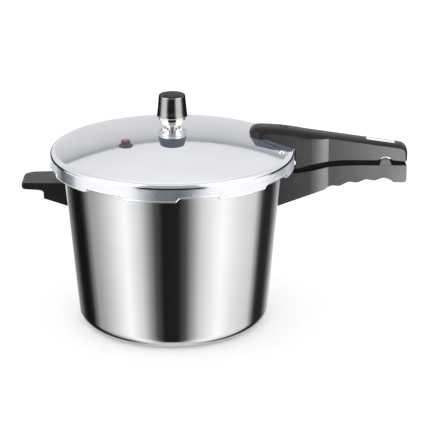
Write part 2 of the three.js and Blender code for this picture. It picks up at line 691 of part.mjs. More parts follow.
// Height of the upper handle's top at x, curved stretch included.
function roofAt(x) {
  if (x >= topBendEnd) return roofHeight(x);
  const t = THREE.MathUtils.clamp((x - NOSE_X - NOSE_RADIUS) / (topBendEnd - NOSE_X - NOSE_RADIUS), 0, 1);
  return noseTop - 0.4 * t * (1 - t) - topBendDrop * t ** 2;
}

const cavityStart = NOSE_X + 11;
const cavityEnd = RIDGE_X - RIDGE_RADIUS - GROOVE_CLEARANCE - 4;
const cavityWidth = HANDLE_WIDTH - 2 * HANDLE_SIDE_WALL;
const bracketFront = cavityStart + SEAT;
const bracketBack = LID_FLAT_RADIUS + 0.5;
const creaseTop = LID_EDGE + CREASE_RISE;
const creaseStart = RIM_RADIUS - (CREASE_RISE - 1.6) / CREASE_SLOPE;
const topScrewX = bracketBack - 6.5;
const lidRivetX = bracketFront + LID_BRACKET_SHEET + LID_RIVET_HEAD_RADIUS + 1.5;
const lidRivetY = LID_RIVET_HEAD_RADIUS + 0.5;
const lidRivetPlaces = [[lidRivetX, -lidRivetY], [lidRivetX, lidRivetY]];
const screwSeat = roofAt(topScrewX) - SCREW_HEAD_HEIGHT - 0.4;

function upperHandle() {
  const deep = BAND_BOTTOM - 12;
  const outside = [
    [NOSE_X, deep],
    ...bend([NOSE_X, noseTop - 1.1 * NOSE_RADIUS], [NOSE_X, noseTop], [NOSE_X + NOSE_RADIUS, noseTop], 6),
    ...roofLine(NOSE_X + NOSE_RADIUS, HANDLE_END - END_RADIUS, 0).slice(1),
    ...bend([HANDLE_END - END_RADIUS, endTop], [HANDLE_END, endTop - 0.6],
      [HANDLE_END, endTop - 8], 5).slice(1),
    [HANDLE_END, deep],
  ];
  const underLid = [
    [NOSE_X - 10, creaseTop],
    [creaseStart, creaseTop],
    [RIM_RADIUS + 6, LID_EDGE + 1.6 - 6 * CREASE_SLOPE],
    [RIM_RADIUS + 6, deep - 10],
    [NOSE_X - 10, deep - 10],
  ];
  const rimCut = post(RIM_RADIUS + RIM_CLEARANCE, deep - 10, LID_EDGE + 1.6, 0, 0, 2 * FACETS_LARGE);
  const overLid = slab(underLid, 2 * HANDLE_WIDTH).intersect(
    post(RIM_RADIUS + RIM_CLEARANCE, deep - 10, cookerHeight, 0, 0, 2 * FACETS_LARGE));
  const underGrip = [
    [0, LID_EDGE - SKIRT_DROP],
    [RIM_RADIUS + RIM_CLEARANCE, LID_EDGE - SKIRT_DROP],
    ...bend([RIM_RADIUS + 6, LID_EDGE - SKIRT_DROP + 1], [RIM_RADIUS + 24, gripUnderside - 1],
      [RIM_RADIUS + 48, gripUnderside], 7),
    [HANDLE_END - 16, gripUnderside],
    [HANDLE_END + 10, gripUnderside - 2.6],
    [HANDLE_END + 10, deep - 10],
    [0, deep - 10],
  ];
  const cavity = [
    ...roofLine(cavityStart, cavityEnd, HANDLE_ROOF),
    [cavityEnd, deep - 10],
    [cavityStart, deep - 10],
  ];
  const cuts = [
    rimCut,
    overLid,
    slab(underGrip, 2 * HANDLE_WIDTH),
    slab(cavity, cavityWidth),
    ridgeRing(RIDGE_RADIUS + GROOVE_CLEARANCE),
    labelBlank(SEAT),
    post(SCREW_BORE, LID_TOP, cookerHeight, topScrewX),
    post(SCREW_HEAD_RADIUS + SEAT, screwSeat - SEAT, cookerHeight, topScrewX),
  ];
  const half = HANDLE_WIDTH / 2;
  const waist = waistLine(half);
  const plan = prism([...arc(NOSE_X + half, 0, half, 90, 270, 12).reverse(), ...waist, ...mirrored(waist)],
    0, cookerHeight);
  const body = slab(outside, HANDLE_WIDTH, { inward: 4.6, across: 8 + WAIST_DEPTH, segments: 5 });
  return cuts.reduce((solid, cut) => solid.subtract(cut), body.intersect(plan));
}

// Blank plate let into the top of the handle's end, grown by a margin.
function labelBlank(margin) {
  const x = HANDLE_END - LABEL_FROM_END;
  const slope = Math.atan2(roofAt(x - 1) - roofAt(x + 1), 2);
  const plate = new THREE.BoxGeometry(
    LABEL_LENGTH + 2 * margin, LABEL_WIDTH + 2 * margin, LABEL_THICKNESS + 2 * margin);
  return toSolid(plate.rotateY(slope).translate(x, 0, roofAt(x) - LABEL_THICKNESS / 2 + SEAT / 2));
}

// Pressed channel that carries the upper handle on the lid.
function lidBracket() {
  const footAt = (x) => lidHeight(x) + SEAT;
  const top = HANDLE_ROOF + SEAT;
  const underNose = creaseTop - SEAT;
  const outside = [
    ...bend([NOSE_X + 1.6, underNose], [NOSE_X + 2.4, footAt(NOSE_X + 9) + 3],
      [NOSE_X + 8, footAt(NOSE_X + 8)], 4),
    [bracketBack, footAt(LID_FLAT_RADIUS)],
    ...roofLine(bracketFront, bracketBack, top).reverse(),
    [bracketFront, underNose],
  ];
  const sheet = LID_BRACKET_SHEET;
  const inside = [
    [bracketFront + sheet, footAt(bracketFront) + sheet],
    [bracketBack + 10, footAt(LID_FLAT_RADIUS) + sheet],
    ...roofLine(bracketFront + sheet, bracketBack + 10, top + sheet).reverse(),
  ];
  const width = cavityWidth - 2 * SEAT;
  const noseRound = prism([
    ...arc(NOSE_X + width / 2, 0, width / 2 - 1, 90, 270, 10),
    [RIM_RADIUS, -width / 2], [RIM_RADIUS, width / 2],
  ], BAND_BOTTOM, cookerHeight);
  const channel = slab(outside, width).intersect(noseRound);
  const cuts = [
    slab(inside, width - 2 * sheet),
    post(SCREW_BORE, LID_TOP + sheet + 1, cookerHeight, topScrewX),
    ...lidRivetPlaces.map(([x, y]) => post(RIVET_BORE, BAND_BOTTOM, footAt(x) + 2 * sheet, x, y)),
  ];
  return cuts.reduce((solid, cut) => solid.subtract(cut), channel);
}

// Rivet through the bracket's foot and the lid.
function lidRivet(x, y) {
  const head = lidHeight(x - LID_RIVET_HEAD_RADIUS) + SEAT + LID_BRACKET_SHEET + SEAT;
  const tail = lidHeight(x + 2 * LID_RIVET_HEAD_RADIUS) - LID_WALL - SEAT;
  return revolve([
    [0, tail - RIVET_HEAD_HEIGHT],
    [LID_RIVET_HEAD_RADIUS, tail - RIVET_HEAD_HEIGHT * 0.6],
    [LID_RIVET_HEAD_RADIUS, tail],
    [RIVET_RADIUS, tail],
    [RIVET_RADIUS, head],
    [LID_RIVET_HEAD_RADIUS, head],
    [LID_RIVET_HEAD_RADIUS, head + RIVET_HEAD_HEIGHT * 0.4],
    [0, head + RIVET_HEAD_HEIGHT],
  ], FACETS_SMALL).translate([x, y, 0]);
}

const bracketCeiling = roofAt(topScrewX + NUT_RADIUS) - HANDLE_ROOF - SEAT - LID_BRACKET_SHEET;
const nutTop = bracketCeiling - SEAT;

function topScrew() {
  return revolve([
    [0, nutTop - NUT_HEIGHT - 1.5],
    [SCREW_RADIUS, nutTop - NUT_HEIGHT - 1.5],
    [SCREW_RADIUS, screwSeat],
    [SCREW_HEAD_RADIUS, screwSeat],
    [SCREW_HEAD_RADIUS, screwSeat + SCREW_HEAD_HEIGHT * 0.6],
    [SCREW_HEAD_RADIUS * 0.8, screwSeat + SCREW_HEAD_HEIGHT],
    [0, screwSeat + SCREW_HEAD_HEIGHT],
  ], FACETS_SMALL).translate([topScrewX, 0, 0]);
}

const hexNut = (radius, hole, bottom, top, x) =>
  post(radius, bottom, top, x, 0, 6).subtract(post(hole, bottom - 1, top + 1, x, 0));

// ---- Vent and weight valve ------------------------------------------------------------------

const ventBaseBottom = LID_TOP + SEAT;
const ventBaseTop = ventBaseBottom + VENT_BASE_HEIGHT;
const ventBaseFloor = ventBaseBottom + VENT_BASE_FLOOR;
const cupBottom = ventBaseFloor + SEAT;
const cupFloor = cupBottom + CUP_WALL;
const cupLipBottom = ventBaseTop + SEAT;
const cupTop = cupLipBottom + CUP_LIP;
const ventHexBottom = cupFloor + SEAT;
const ventTip = LID_TOP + VENT_HEIGHT;
const lidUnderside = LID_TOP - LID_WALL;
const sealBottom = lidUnderside - SEAT - VENT_SEAL_THICKNESS;
const ventNutTop = sealBottom - SEAT;
const ventNutBottom = ventNutTop - VENT_NUT_HEIGHT;

const ventHole = VENT_THREAD_RADIUS + SEAT;
const cupNeckRadius = VENT_BASE_RIM_RADIUS - VENT_BASE_WALL; // bowl's outside under its rim
const cupFootRadius = VENT_BASE_RADIUS - VENT_BASE_WALL; // bowl's outside at its floor

// Outline of the bowl's flank from floor to rim, shrunk by a margin.
const cupFlank = (margin) => bend([cupFootRadius - margin, cupBottom + margin],
  [cupNeckRadius - margin, cupBottom + margin + 0.8], [cupNeckRadius - margin, cupLipBottom], 4);

// Rubber cone between the lid and the bright bowl.
const ventBase = () => revolve([
  [ventHole, ventBaseBottom],
  [VENT_BASE_RADIUS - 0.6, ventBaseBottom],
  ...bend([VENT_BASE_RADIUS, ventBaseBottom + 0.6], [VENT_BASE_RIM_RADIUS - 0.9, ventBaseBottom + 3],
    [VENT_BASE_RIM_RADIUS, ventBaseTop - 0.5], 4),
  [VENT_BASE_RIM_RADIUS - 0.5, ventBaseTop],
  [cupNeckRadius + SEAT, ventBaseTop],
  ...bend([cupNeckRadius + SEAT, cupLipBottom - 1], [cupNeckRadius + SEAT, cupBottom + 0.8 - SEAT],
    [cupFootRadius + SEAT, cupBottom - SEAT], 4),
  [ventHole, ventBaseFloor],
], FACETS_MEDIUM);

// Bright bowl round the vent, its lip lying on the rubber base.
const ventCup = () => revolve([
  [ventHole, cupBottom],
  ...cupFlank(0),
  [CUP_RIM_RADIUS - 0.4, cupLipBottom],
  [CUP_RIM_RADIUS, cupLipBottom + 0.5],
  [CUP_RIM_RADIUS, cupTop - 0.8],
  [CUP_RIM_RADIUS - 0.3, cupTop],
  [CUP_RIM_RADIUS - CUP_WALL, cupTop],
  [CUP_RIM_RADIUS - CUP_WALL - 0.3, cupLipBottom + CUP_WALL + 0.6],
  [cupNeckRadius - CUP_WALL + 0.4, cupLipBottom + CUP_WALL],
  ...cupFlank(CUP_WALL).reverse(),
  [ventHole, cupFloor],
], FACETS_MEDIUM);

function ventTube() {
  const hexTop = ventHexBottom + VENT_HEX_HEIGHT;
  const tube = revolve([
    [VENT_BORE, ventNutBottom - VENT_TAIL],
    [VENT_THREAD_RADIUS, ventNutBottom - VENT_TAIL],
    [VENT_THREAD_RADIUS, ventHexBottom + 1],
    [VENT_RADIUS, hexTop],
    [VENT_RADIUS, ventTip - 2],
    [VENT_RADIUS * 0.7, ventTip],
    [VENT_BORE, ventTip],
  ], FACETS_MEDIUM);
  const hexHole = post(VENT_RADIUS - 0.5, 0, cookerHeight);
  const hex = post(VENT_HEX, ventHexBottom, hexTop, 0, 0, 6).subtract(hexHole);
  return tube.add(hex);
}

const ventSeal = () => revolve([
  [ventHole, sealBottom],
  [VENT_SEAL_RADIUS, sealBottom],
  [VENT_SEAL_RADIUS, lidUnderside - SEAT],
  [ventHole, lidUnderside - SEAT],
], FACETS_MEDIUM);

const seatFace = ventTip + SEAT; // the weight bears here on the vent's tip
const bodyBottom = seatFace - BODY_DROP;
const castleBottom = bodyBottom - SEAT - CASTLE_HEIGHT;
const capBottom = bodyBottom + BODY_BAND + SEAT;
const capTop = capBottom + CAP_HEIGHT;
const neckTop = bodyBottom + BODY_BAND + BODY_NECK_HEIGHT;
const castleBore = VENT_RADIUS + INSERT_CLEARANCE;
const castleNeck = castleBore + INSERT_WALL;
const insertTop = seatFace + INSERT_ROOF;

// Turned insert: slotted skirt round the vent, closed at the top by the seat.
function weightInsert() {
  let solid = revolve([
    [castleBore + 1.2, castleBottom],
    [CASTLE_RADIUS, castleBottom],
    [CASTLE_RADIUS, bodyBottom - SEAT],
    [castleNeck, bodyBottom - SEAT],
    [castleNeck, insertTop],
    [0, insertTop],
    [0, seatFace],
    [castleBore, seatFace],
    [castleBore, castleBottom + CASTLE_SLOT_HEIGHT],
  ], FACETS_MEDIUM);
  for (let i = 0; i < CASTLE_SLOTS / 2; i += 1) {
    const slot = new THREE.BoxGeometry(3 * CASTLE_RADIUS, CASTLE_SLOT_WIDTH, CASTLE_SLOT_HEIGHT);
    const turned = slot.rotateZ((i * 2 * Math.PI) / CASTLE_SLOTS);
    solid = solid.subtract(toSolid(turned.translate(0, 0, castleBottom + CASTLE_SLOT_HEIGHT / 2 - 0.5)));
  }
  return solid;
}

const weightBody = () => revolve([
  [castleNeck + SEAT, bodyBottom],
  [BODY_RADIUS - 1.6, bodyBottom],
  [BODY_RADIUS - 0.4, bodyBottom + 0.8],
  [BODY_RADIUS, bodyBottom + 2],
  [BODY_RADIUS, bodyBottom + BODY_BAND],
  [BODY_NECK_RADIUS, bodyBottom + BODY_BAND],
  [BODY_NECK_RADIUS, neckTop],
  [0, neckTop],
  [0, insertTop + SEAT],
  [castleNeck + SEAT, insertTop + SEAT],
], FACETS_MEDIUM);

const weightCap = () => revolve([
  [BODY_NECK_RADIUS + SEAT, capBottom],
  [CAP_BASE_RADIUS - 0.5, capBottom],
  [CAP_BASE_RADIUS, capBottom + 0.9],
  ...bend([CAP_TOP_RADIUS + 0.15, capTop - 1.3], [CAP_TOP_RADIUS, capTop],
    [CAP_TOP_RADIUS - 1.4, capTop + 0.2], 3),
  [CAP_TOP_RADIUS * 0.5, capTop + CAP_DOME * 0.85],
  [0, capTop + CAP_DOME],
  [0, neckTop + SEAT],
  [BODY_NECK_RADIUS + SEAT, neckTop + SEAT],
], FACETS_MEDIUM);

// ---- Safety plug and pressure pin -----------------------------------------------------------

const plugRadiusOnLid = Math.hypot(PLUG_X, PLUG_Y);
const plugBottom = lidHeight(plugRadiusOnLid - PLUG_RADIUS) + SEAT;
const plugTop = plugBottom + PLUG_HEIGHT;
const plugFlangeTop = lidHeight(plugRadiusOnLid + PLUG_FLANGE_RADIUS) - LID_WALL - SEAT;
const plugFlangeBottom = plugFlangeTop - PLUG_FLANGE_HEIGHT;
const pinShoulder = plugTop - PIN_HEAD_HEIGHT;
const clipTop = plugFlangeBottom - PIN_TRAVEL - SEAT;

const safetyPlug = () => revolve([
  [PIN_SHAFT_RADIUS + PIN_CLEARANCE, plugFlangeBottom],
  [PLUG_FLANGE_RADIUS - 1.6, plugFlangeBottom],
  [PLUG_FLANGE_RADIUS, plugFlangeTop - 1],
  [PLUG_FLANGE_RADIUS, plugFlangeTop],
  [PLUG_NECK_RADIUS, plugFlangeTop],
  [PLUG_NECK_RADIUS, plugBottom],
  [PLUG_RADIUS - 1.4, plugBottom],
  [PLUG_RADIUS - 0.3, plugBottom + 0.6],
  [PLUG_RADIUS, plugBottom + 1.5],
  [PLUG_TOP_RADIUS + 0.3, plugTop - 0.4],
  [PLUG_TOP_RADIUS - 0.4, plugTop],
  [PIN_HEAD_RADIUS + PIN_CLEARANCE, plugTop],
  [PIN_HEAD_RADIUS + PIN_CLEARANCE, pinShoulder],
  [PIN_SHAFT_RADIUS + PIN_CLEARANCE, pinShoulder],
], FACETS_MEDIUM).translate([PLUG_X, PLUG_Y, 0]);

const pressurePin = () => revolve([
  [0, clipTop - CLIP_THICKNESS - 1],
  [PIN_SHAFT_RADIUS, clipTop - CLIP_THICKNESS - 1],
  [PIN_SHAFT_RADIUS, pinShoulder + SEAT],
  [PIN_HEAD_RADIUS, pinShoulder + SEAT],
  [PIN_HEAD_RADIUS, plugTop - 0.2],
  [PIN_HEAD_RADIUS * 0.7, plugTop + 0.3],
  [0, plugTop + 0.5],
], FACETS_MEDIUM).translate([PLUG_X, PLUG_Y, 0]);

const pinClip = () => revolve([
  [PIN_SHAFT_RADIUS + SEAT, clipTop - CLIP_THICKNESS],
  [CLIP_RADIUS, clipTop - CLIP_THICKNESS],
  [CLIP_RADIUS, clipTop],
  [PIN_SHAFT_RADIUS + SEAT, clipTop],
], FACETS_MEDIUM).translate([PLUG_X, PLUG_Y, 0]);

// ---- Assembly -------------------------------------------------------------------------------

const cooker = new THREE.Group();

const pot = new THREE.Group();
const potRivetCuts = [...rivetBores(lowerBracket), ...rivetBores(helperBracket)];
pot.add(piece('pot_body', potBody(potRivetCuts), POLISHED_ALUMINIUM));
for (const [name, place] of [['pot_handle_bracket', lowerBracket], ['helper_bracket', helperBracket]]) {
  pot.add(piece(name, potBracket(place), BRUSHED_ALUMINIUM));
  place.rivetHeights.forEach((z, i) => {
    pot.add(piece(`${name}_rivet_${i + 1}`, potRivet(place, z), BRUSHED_ALUMINIUM));
  });
}
pot.add(piece('lower_handle', lowerHandle(), BAKELITE));
pot.add(piece('lower_handle_screw', screwFromBelow(lowerBracket, lowerScrewHeadTop), STEEL));
pot.add(piece('helper_handle', helperHandle(), BAKELITE));
pot.add(piece('helper_handle_screw', screwFromBelow(helperBracket, helperScrewHeadTop), STEEL));
cooker.add(pot);

const lid = new THREE.Group();
lid.add(piece('lid_shell', lidShell(), POLISHED_ALUMINIUM));
lid.add(piece('gasket', gasket(), GREY_RUBBER));
lid.add(piece('lid_bracket', lidBracket(), STEEL));
lidRivetPlaces.forEach(([x, y], i) => {
  lid.add(piece(`lid_bracket_rivet_${i + 1}`, lidRivet(x, y), BRUSHED_ALUMINIUM));
});
lid.add(piece('upper_handle', upperHandle(), BAKELITE));
lid.add(piece('upper_handle_screw', topScrew(), STEEL));
const topNut = hexNut(NUT_RADIUS, SCREW_BORE, nutTop - NUT_HEIGHT, nutTop, topScrewX);
lid.add(piece('upper_handle_nut', topNut, STEEL));
lid.add(piece('blank_label_plate', labelBlank(0), PLAIN_LABEL));
lid.add(piece('vent_base', ventBase(), SLATE_RUBBER));
lid.add(piece('vent_cup', ventCup(), CHROME));
lid.add(piece('vent_tube', ventTube(), CHROME));
lid.add(piece('vent_seal', ventSeal(), BLACK_RUBBER));
const ventNut = hexNut(VENT_NUT_RADIUS, ventHole, ventNutBottom, ventNutTop, 0);
lid.add(piece('vent_nut', ventNut, BRASS));
lid.add(piece('safety_plug', safetyPlug(), BLACK_RUBBER));
cooker.add(lid);

const weight = new THREE.Group();
weight.add(piece('weight_insert', weightInsert(), BRASS));
weight.add(piece('weight_body', weightBody(), CHROME));
weight.add(piece('weight_cap', weightCap(), BLACK_CHROME));
cooker.add(weight);

const indicator = new THREE.Group();
indicator.add(piece('pressure_pin', pressurePin(), RED_SILICONE));
indicator.add(piece('pressure_pin_clip', pinClip(), STEEL));
cooker.add(indicator);

export default cooker;
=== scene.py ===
# %% [markdown]
# # A stovetop pressure cooker
# A polished pot, a lid that turns on eight lugs, black moulded handles, a weight on a steam vent
# and a rubber safety plug. The imported model gives every size and place, so it is loaded first.

# %% Load the frame
import json
import math

import bmesh
import bpy
from mathutils import Matrix, Vector

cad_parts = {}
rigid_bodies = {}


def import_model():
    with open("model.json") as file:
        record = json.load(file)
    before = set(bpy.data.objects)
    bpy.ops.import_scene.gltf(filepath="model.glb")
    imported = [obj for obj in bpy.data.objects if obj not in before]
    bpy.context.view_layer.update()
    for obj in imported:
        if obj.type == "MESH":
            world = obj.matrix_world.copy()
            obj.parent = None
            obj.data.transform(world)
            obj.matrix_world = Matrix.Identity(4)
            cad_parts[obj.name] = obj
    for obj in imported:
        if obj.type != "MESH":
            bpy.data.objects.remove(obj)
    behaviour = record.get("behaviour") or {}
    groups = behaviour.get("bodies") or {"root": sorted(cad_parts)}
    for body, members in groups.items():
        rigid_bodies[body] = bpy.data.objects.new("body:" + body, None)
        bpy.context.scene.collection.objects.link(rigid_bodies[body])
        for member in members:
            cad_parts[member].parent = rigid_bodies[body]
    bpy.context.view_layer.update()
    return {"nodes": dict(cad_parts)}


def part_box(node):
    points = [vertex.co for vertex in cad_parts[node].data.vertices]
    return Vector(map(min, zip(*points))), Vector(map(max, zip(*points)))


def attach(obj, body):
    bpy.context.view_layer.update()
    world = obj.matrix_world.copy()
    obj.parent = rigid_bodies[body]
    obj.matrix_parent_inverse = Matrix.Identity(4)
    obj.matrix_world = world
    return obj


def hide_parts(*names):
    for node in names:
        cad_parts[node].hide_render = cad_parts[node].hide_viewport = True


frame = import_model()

# %% [markdown]
# ## Working in millimetres
# Kitchenware is drawn in millimetres and Blender works in metres. The helper below reads the
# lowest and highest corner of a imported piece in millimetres, so that each outline can be
# written the way a drawing would give it.

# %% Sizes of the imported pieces
MM = 0.001


def corners(node):
    low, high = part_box(node)
    return low / MM, high / MM


POT_HIGH = corners("pot_body")[1]
LID_LOW, LID_HIGH = corners("lid_shell")
TOP_LOW, TOP_HIGH = corners("upper_handle")
LOWER_LOW, LOWER_HIGH = corners("lower_handle")
HELPER_LOW, HELPER_HIGH = corners("helper_handle")

LID_CROWN = 1.6
LID_EDGE = LID_HIGH.z - LID_CROWN
BAND_BOTTOM = LID_LOW.z
RIM = LID_HIGH.x
POT_TOP = POT_HIGH.z
BASE_RADIUS = 94.8
POT_RADIUS = 107.4
CORNER = 12.8
FLANGE = 2.7
WALL_LEAN = math.atan((POT_RADIUS - BASE_RADIUS) / (POT_TOP - FLANGE - CORNER))
print("pot top", round(POT_TOP, 1), "lid rim radius", round(RIM, 1))

# %% [markdown]
# ## The camera
# A long lens from a little above the lid, straight at the cooker's side, as for a catalogue.

# %% Camera
camera_data = bpy.data.cameras.new("catalogue_camera")
camera_data.lens = 153.5
camera_data.sensor_width = 36
camera_data.clip_start = 0.05
camera = bpy.data.objects.new("catalogue_camera", camera_data)
camera.location = (0.0418, -1.722, 0.703)
camera.rotation_euler = (math.radians(70.86), 0, 0)
bpy.context.scene.collection.objects.link(camera)
bpy.context.scene.camera = camera

# %% [markdown]
# ## The studio
# Polished metal shows nothing but the room around it. A catalogue studio for pans is a white
# tent with two big soft lights in front, left and right, a dark gap between them where the
# camera stands, and dark edges where the tent is open. Here the world shader is that tent: it
# works out the compass direction of each ray and darkens it inside the gaps. A world has no
# distance, so the gaps stay straight on the pot's wall, and no lamp adds noise.

# %% One helper to add a node
def hex_colour(text):
    """sRGB hex to linear RGBA."""
    parts = [int(text[i:i + 2], 16) / 255 for i in (1, 3, 5)]
    linear = [p / 12.92 if p <= 0.04045 else ((p + 0.055) / 1.055) ** 2.4 for p in parts]
    return (*linear, 1.0)


def add_node(tree, kind, settings=None, **inputs):
    """Adds a node: settings are its properties, inputs its sockets by name or by number."""
    node = tree.nodes.new(kind)
    for key, value in (settings or {}).items():
        setattr(node, key, value)
    for key, value in inputs.items():
        name = int(key[1:]) if key[0] == "i" and key[1:].isdigit() else key.replace("_", " ")
        socket = node.inputs[name]
        if isinstance(value, bpy.types.NodeSocket):
            tree.links.new(value, socket)
        else:
            socket.default_value = value
    return node


def add_math(tree, operation, *values):
    """Adds a Math node on up to three values and gives its output."""
    inputs = {f"i{k}": value for k, value in enumerate(values)}
    return add_node(tree, "ShaderNodeMath", {"operation": operation}, **inputs).outputs[0]

# %% [markdown]
# What a polished thing shows at one bearing is the tent's brightness there. Rows give it as grey
# levels from 0 to 255 over the compass: a low one that the pot's wall mirrors, a middle one for
# the lid's band and two high ones for the weight. Bearing 0 is the camera's side, and bearings
# grow to its right. A colour ramp holds 32 stops, so each row is two ramps.
#
# The low row, the middle row, the back wall and its arch are not a studio's plan: they are
# readings of the reflections on one polished cooker, and so, in part, are the rows for the weight
# and the soft boxes. To light another pan, replace them all with soft boxes of your own.

# %% The world as a light tent
world = bpy.data.worlds.new("light_tent")
bpy.context.scene.world = world
world.use_nodes = True
world.cycles.sampling_method = "NONE"
tent = world.node_tree
tent.nodes.clear()
ray = add_node(tent, "ShaderNodeTexCoord").outputs["Generated"]
ray_parts = add_node(tent, "ShaderNodeSeparateXYZ", Vector=ray).outputs
east, north, rise = ray_parts[0], ray_parts[1], ray_parts[2]
south = add_math(tent, "MULTIPLY", north, -1.0)
bearing = add_math(tent, "MULTIPLY", add_math(tent, "ARCTAN2", east, south), 180 / math.pi)
behind = add_math(tent, "MULTIPLY", add_math(tent, "ARCTAN2", east, north), 180 / math.pi)
elevation = add_math(tent, "MULTIPLY", add_math(tent, "ARCSINE", rise), 180 / math.pi)
TENT_GAIN = 1.12
print("bearing and elevation:", len(tent.nodes), "nodes")

# %% [markdown]
# Four small helpers: a grey level as light, a ramp over a value, a blend and a soft step.

# %% Helpers for the tent
def tent_light(level, cool=0.0):
    """Light for a grey level of 0 to 255, greys a little bluer where cool is above 0."""
    blue = cool * min(1.0, (255 - level) / 100)
    parts = [min(255.0, level * (1 + blue * k)) / 255 for k in (-0.035, 0.0, 0.055)]
    return [TENT_GAIN * (p / 12.92 if p <= 0.04045 else ((p + 0.055) / 1.055) ** 2.4) for p in parts]


def tent_ramp(value, low, high, stops, cool=0.0):
    """Light over a value: stops are (value, level), straight between them."""
    part = add_node(tent, "ShaderNodeMapRange", Value=value, From_Min=low, From_Max=high)
    ramp = add_node(tent, "ShaderNodeValToRGB", Fac=part.outputs[0])
    for k, (at, level) in enumerate(stops):
        place = (at - low) / (high - low)
        element = ramp.color_ramp.elements[k] if k < 2 else ramp.color_ramp.elements.new(place)
        element.position = place
        element.color = (*tent_light(level, cool), 1)
    return ramp.outputs[0]


def tent_mix(first, second, factor):
    """Blends two lights by a factor."""
    blend = add_node(tent, "ShaderNodeMix", {"data_type": "RGBA"}, i0=factor)
    for socket, value in ((blend.inputs[6], first), (blend.inputs[7], second)):
        if isinstance(value, bpy.types.NodeSocket):
            tent.links.new(value, socket)
        else:
            socket.default_value = value
    return blend.outputs[2]


def tent_step(value, low, high):
    """0 below low, 1 above high and a smooth step between."""
    return add_node(tent, "ShaderNodeMapRange", {"interpolation_type": "SMOOTHSTEP"}, Value=value,
                    From_Min=low, From_Max=high).outputs[0]

# %% [markdown]
# A row is two ramps, one on each side of bearing 0, and a yes-or-no node picks between them.

# %% One row of the tent
to_the_right = add_math(tent, "GREATER_THAN", bearing, 0.0)


def compass_row(left, right, cool=0.0):
    """One row of the tent from its stops at bearings below and above 0."""
    return tent_mix(tent_ramp(bearing, -180, 0, left, cool), tent_ramp(bearing, 0, 180, right, cool),
                    to_the_right)


# %% The low row, for the pot's wall
pot_row = compass_row(
    [(-180, 205), (-174, 212), (-168, 200), (-162, 156), (-156, 125), (-150, 110), (-144, 78),
     (-138, 45), (-132, 21), (-120, 21), (-114, 47), (-107, 115), (-101, 155), (-95, 163), (-87, 182),
     (-78, 203), (-70, 223), (-61, 243), (-53, 255), (-44, 233), (-36, 210), (-27, 152), (-19, 80),
     (-10, 29), (0, 30)],
    [(0, 30), (7, 32), (16, 82), (24, 155), (33, 209), (41, 228), (50, 244), (58, 255), (67, 246),
     (75, 234), (84, 225), (92, 218), (98, 213), (104, 203), (111, 140), (117, 60), (123, 38),
     (135, 40), (141, 68), (147, 105), (153, 145), (159, 172), (165, 190), (171, 203), (180, 207)])

# %% The middle row, for the lid's band
band_row = compass_row(
    [(-180, 238), (-165, 240), (-157, 214), (-149, 205), (-141, 212), (-133, 163), (-125, 98),
     (-117, 115), (-109, 138), (-104, 180), (-100, 230), (-92, 250), (-84, 255), (-40, 255),
     (-34, 246), (-26, 200), (-18, 158), (-10, 130), (0, 134)],
    [(0, 134), (7, 122), (15, 148), (23, 190), (32, 245), (40, 255), (90, 253), (98, 244),
     (106, 235), (114, 215), (122, 190), (130, 182), (138, 198), (146, 190), (154, 172), (163, 165),
     (170, 145), (180, 135)], cool=1.0)

# %% The high rows, for the weight's drum and its cap
drum_row = compass_row(
    [(-180, 25), (-121, 25), (-114, 235), (-96, 255), (-36, 255), (-30, 40), (-24, 30), (0, 30)],
    [(0, 30), (24, 30), (30, 40), (36, 255), (92, 255), (100, 235), (107, 25), (180, 25)], cool=1.0)
cap_row = compass_row(
    [(-180, 24), (-112, 36), (-100, 110), (-88, 225), (-70, 255), (-48, 245), (-38, 120), (-28, 30),
     (0, 20)],
    [(0, 20), (16, 30), (26, 120), (36, 235), (60, 255), (76, 235), (88, 110), (100, 36), (180, 24)],
    cool=0.3)

# %% [markdown]
# Above the horizon the dark gap in front turns to grey, and the two soft boxes on its sides are
# several times brighter than the cloth of the tent, which is what draws the bright lines on
# rounded edges. Behind the cooker the back wall is a grey sheet that fades towards its top edge,
# and the lid mirrors that edge as an arch.

# %% Soft boxes, ceiling and back wall
box_row = compass_row(
    [(-180, 235), (-125, 215), (-100, 235), (-84, 255), (-34, 255), (-24, 170), (0, 160)],
    [(0, 160), (25, 170), (35, 255), (84, 255), (100, 235), (125, 215), (180, 235)], cool=0.6)
in_boxes = tent_ramp(
    bearing, -180, 180,
    [(-180, 0), (-84, 0), (-76, 255), (-40, 255), (-30, 0), (31, 0), (41, 255), (76, 255), (84, 0),
     (180, 0)])
box_light = add_node(tent, "ShaderNodeMix", {"data_type": "RGBA", "blend_type": "ADD"}, i0=1.2)
box_light.clamp_factor = False
tent.links.new(box_row, box_light.inputs[6])
tent.links.new(in_boxes, box_light.inputs[7])
from_middle = add_math(tent, "ADD", behind, 1.1)
arch = add_math(tent, "MULTIPLY", add_math(tent, "POWER", from_middle, 2.0), 0.105)
over_arch = add_math(tent, "SUBTRACT", elevation, arch)
back_wall = tent_ramp(over_arch, 12, 32, [
    (12, 225), (13, 217), (14.2, 209), (14.9, 204), (15.4, 197), (15.8, 188), (16.1, 172), (16.3, 160),
    (16.42, 150), (16.52, 205), (16.64, 222), (17.2, 226), (18.5, 229), (20, 232), (21, 235), (24, 245),
    (32, 252)], cool=0.45)
from_behind = add_math(tent, "ABSOLUTE", behind)
sides = tent_mix(box_light.outputs[2], back_wall, tent_step(from_behind, 62, 48))
ceiling = tent_mix(sides, (0.86, 0.87, 0.90, 1), tent_step(elevation, 52, 66))

# %% [markdown]
# The rows are stacked by elevation, with short blends between them, and a floor glow closes the
# tent below.

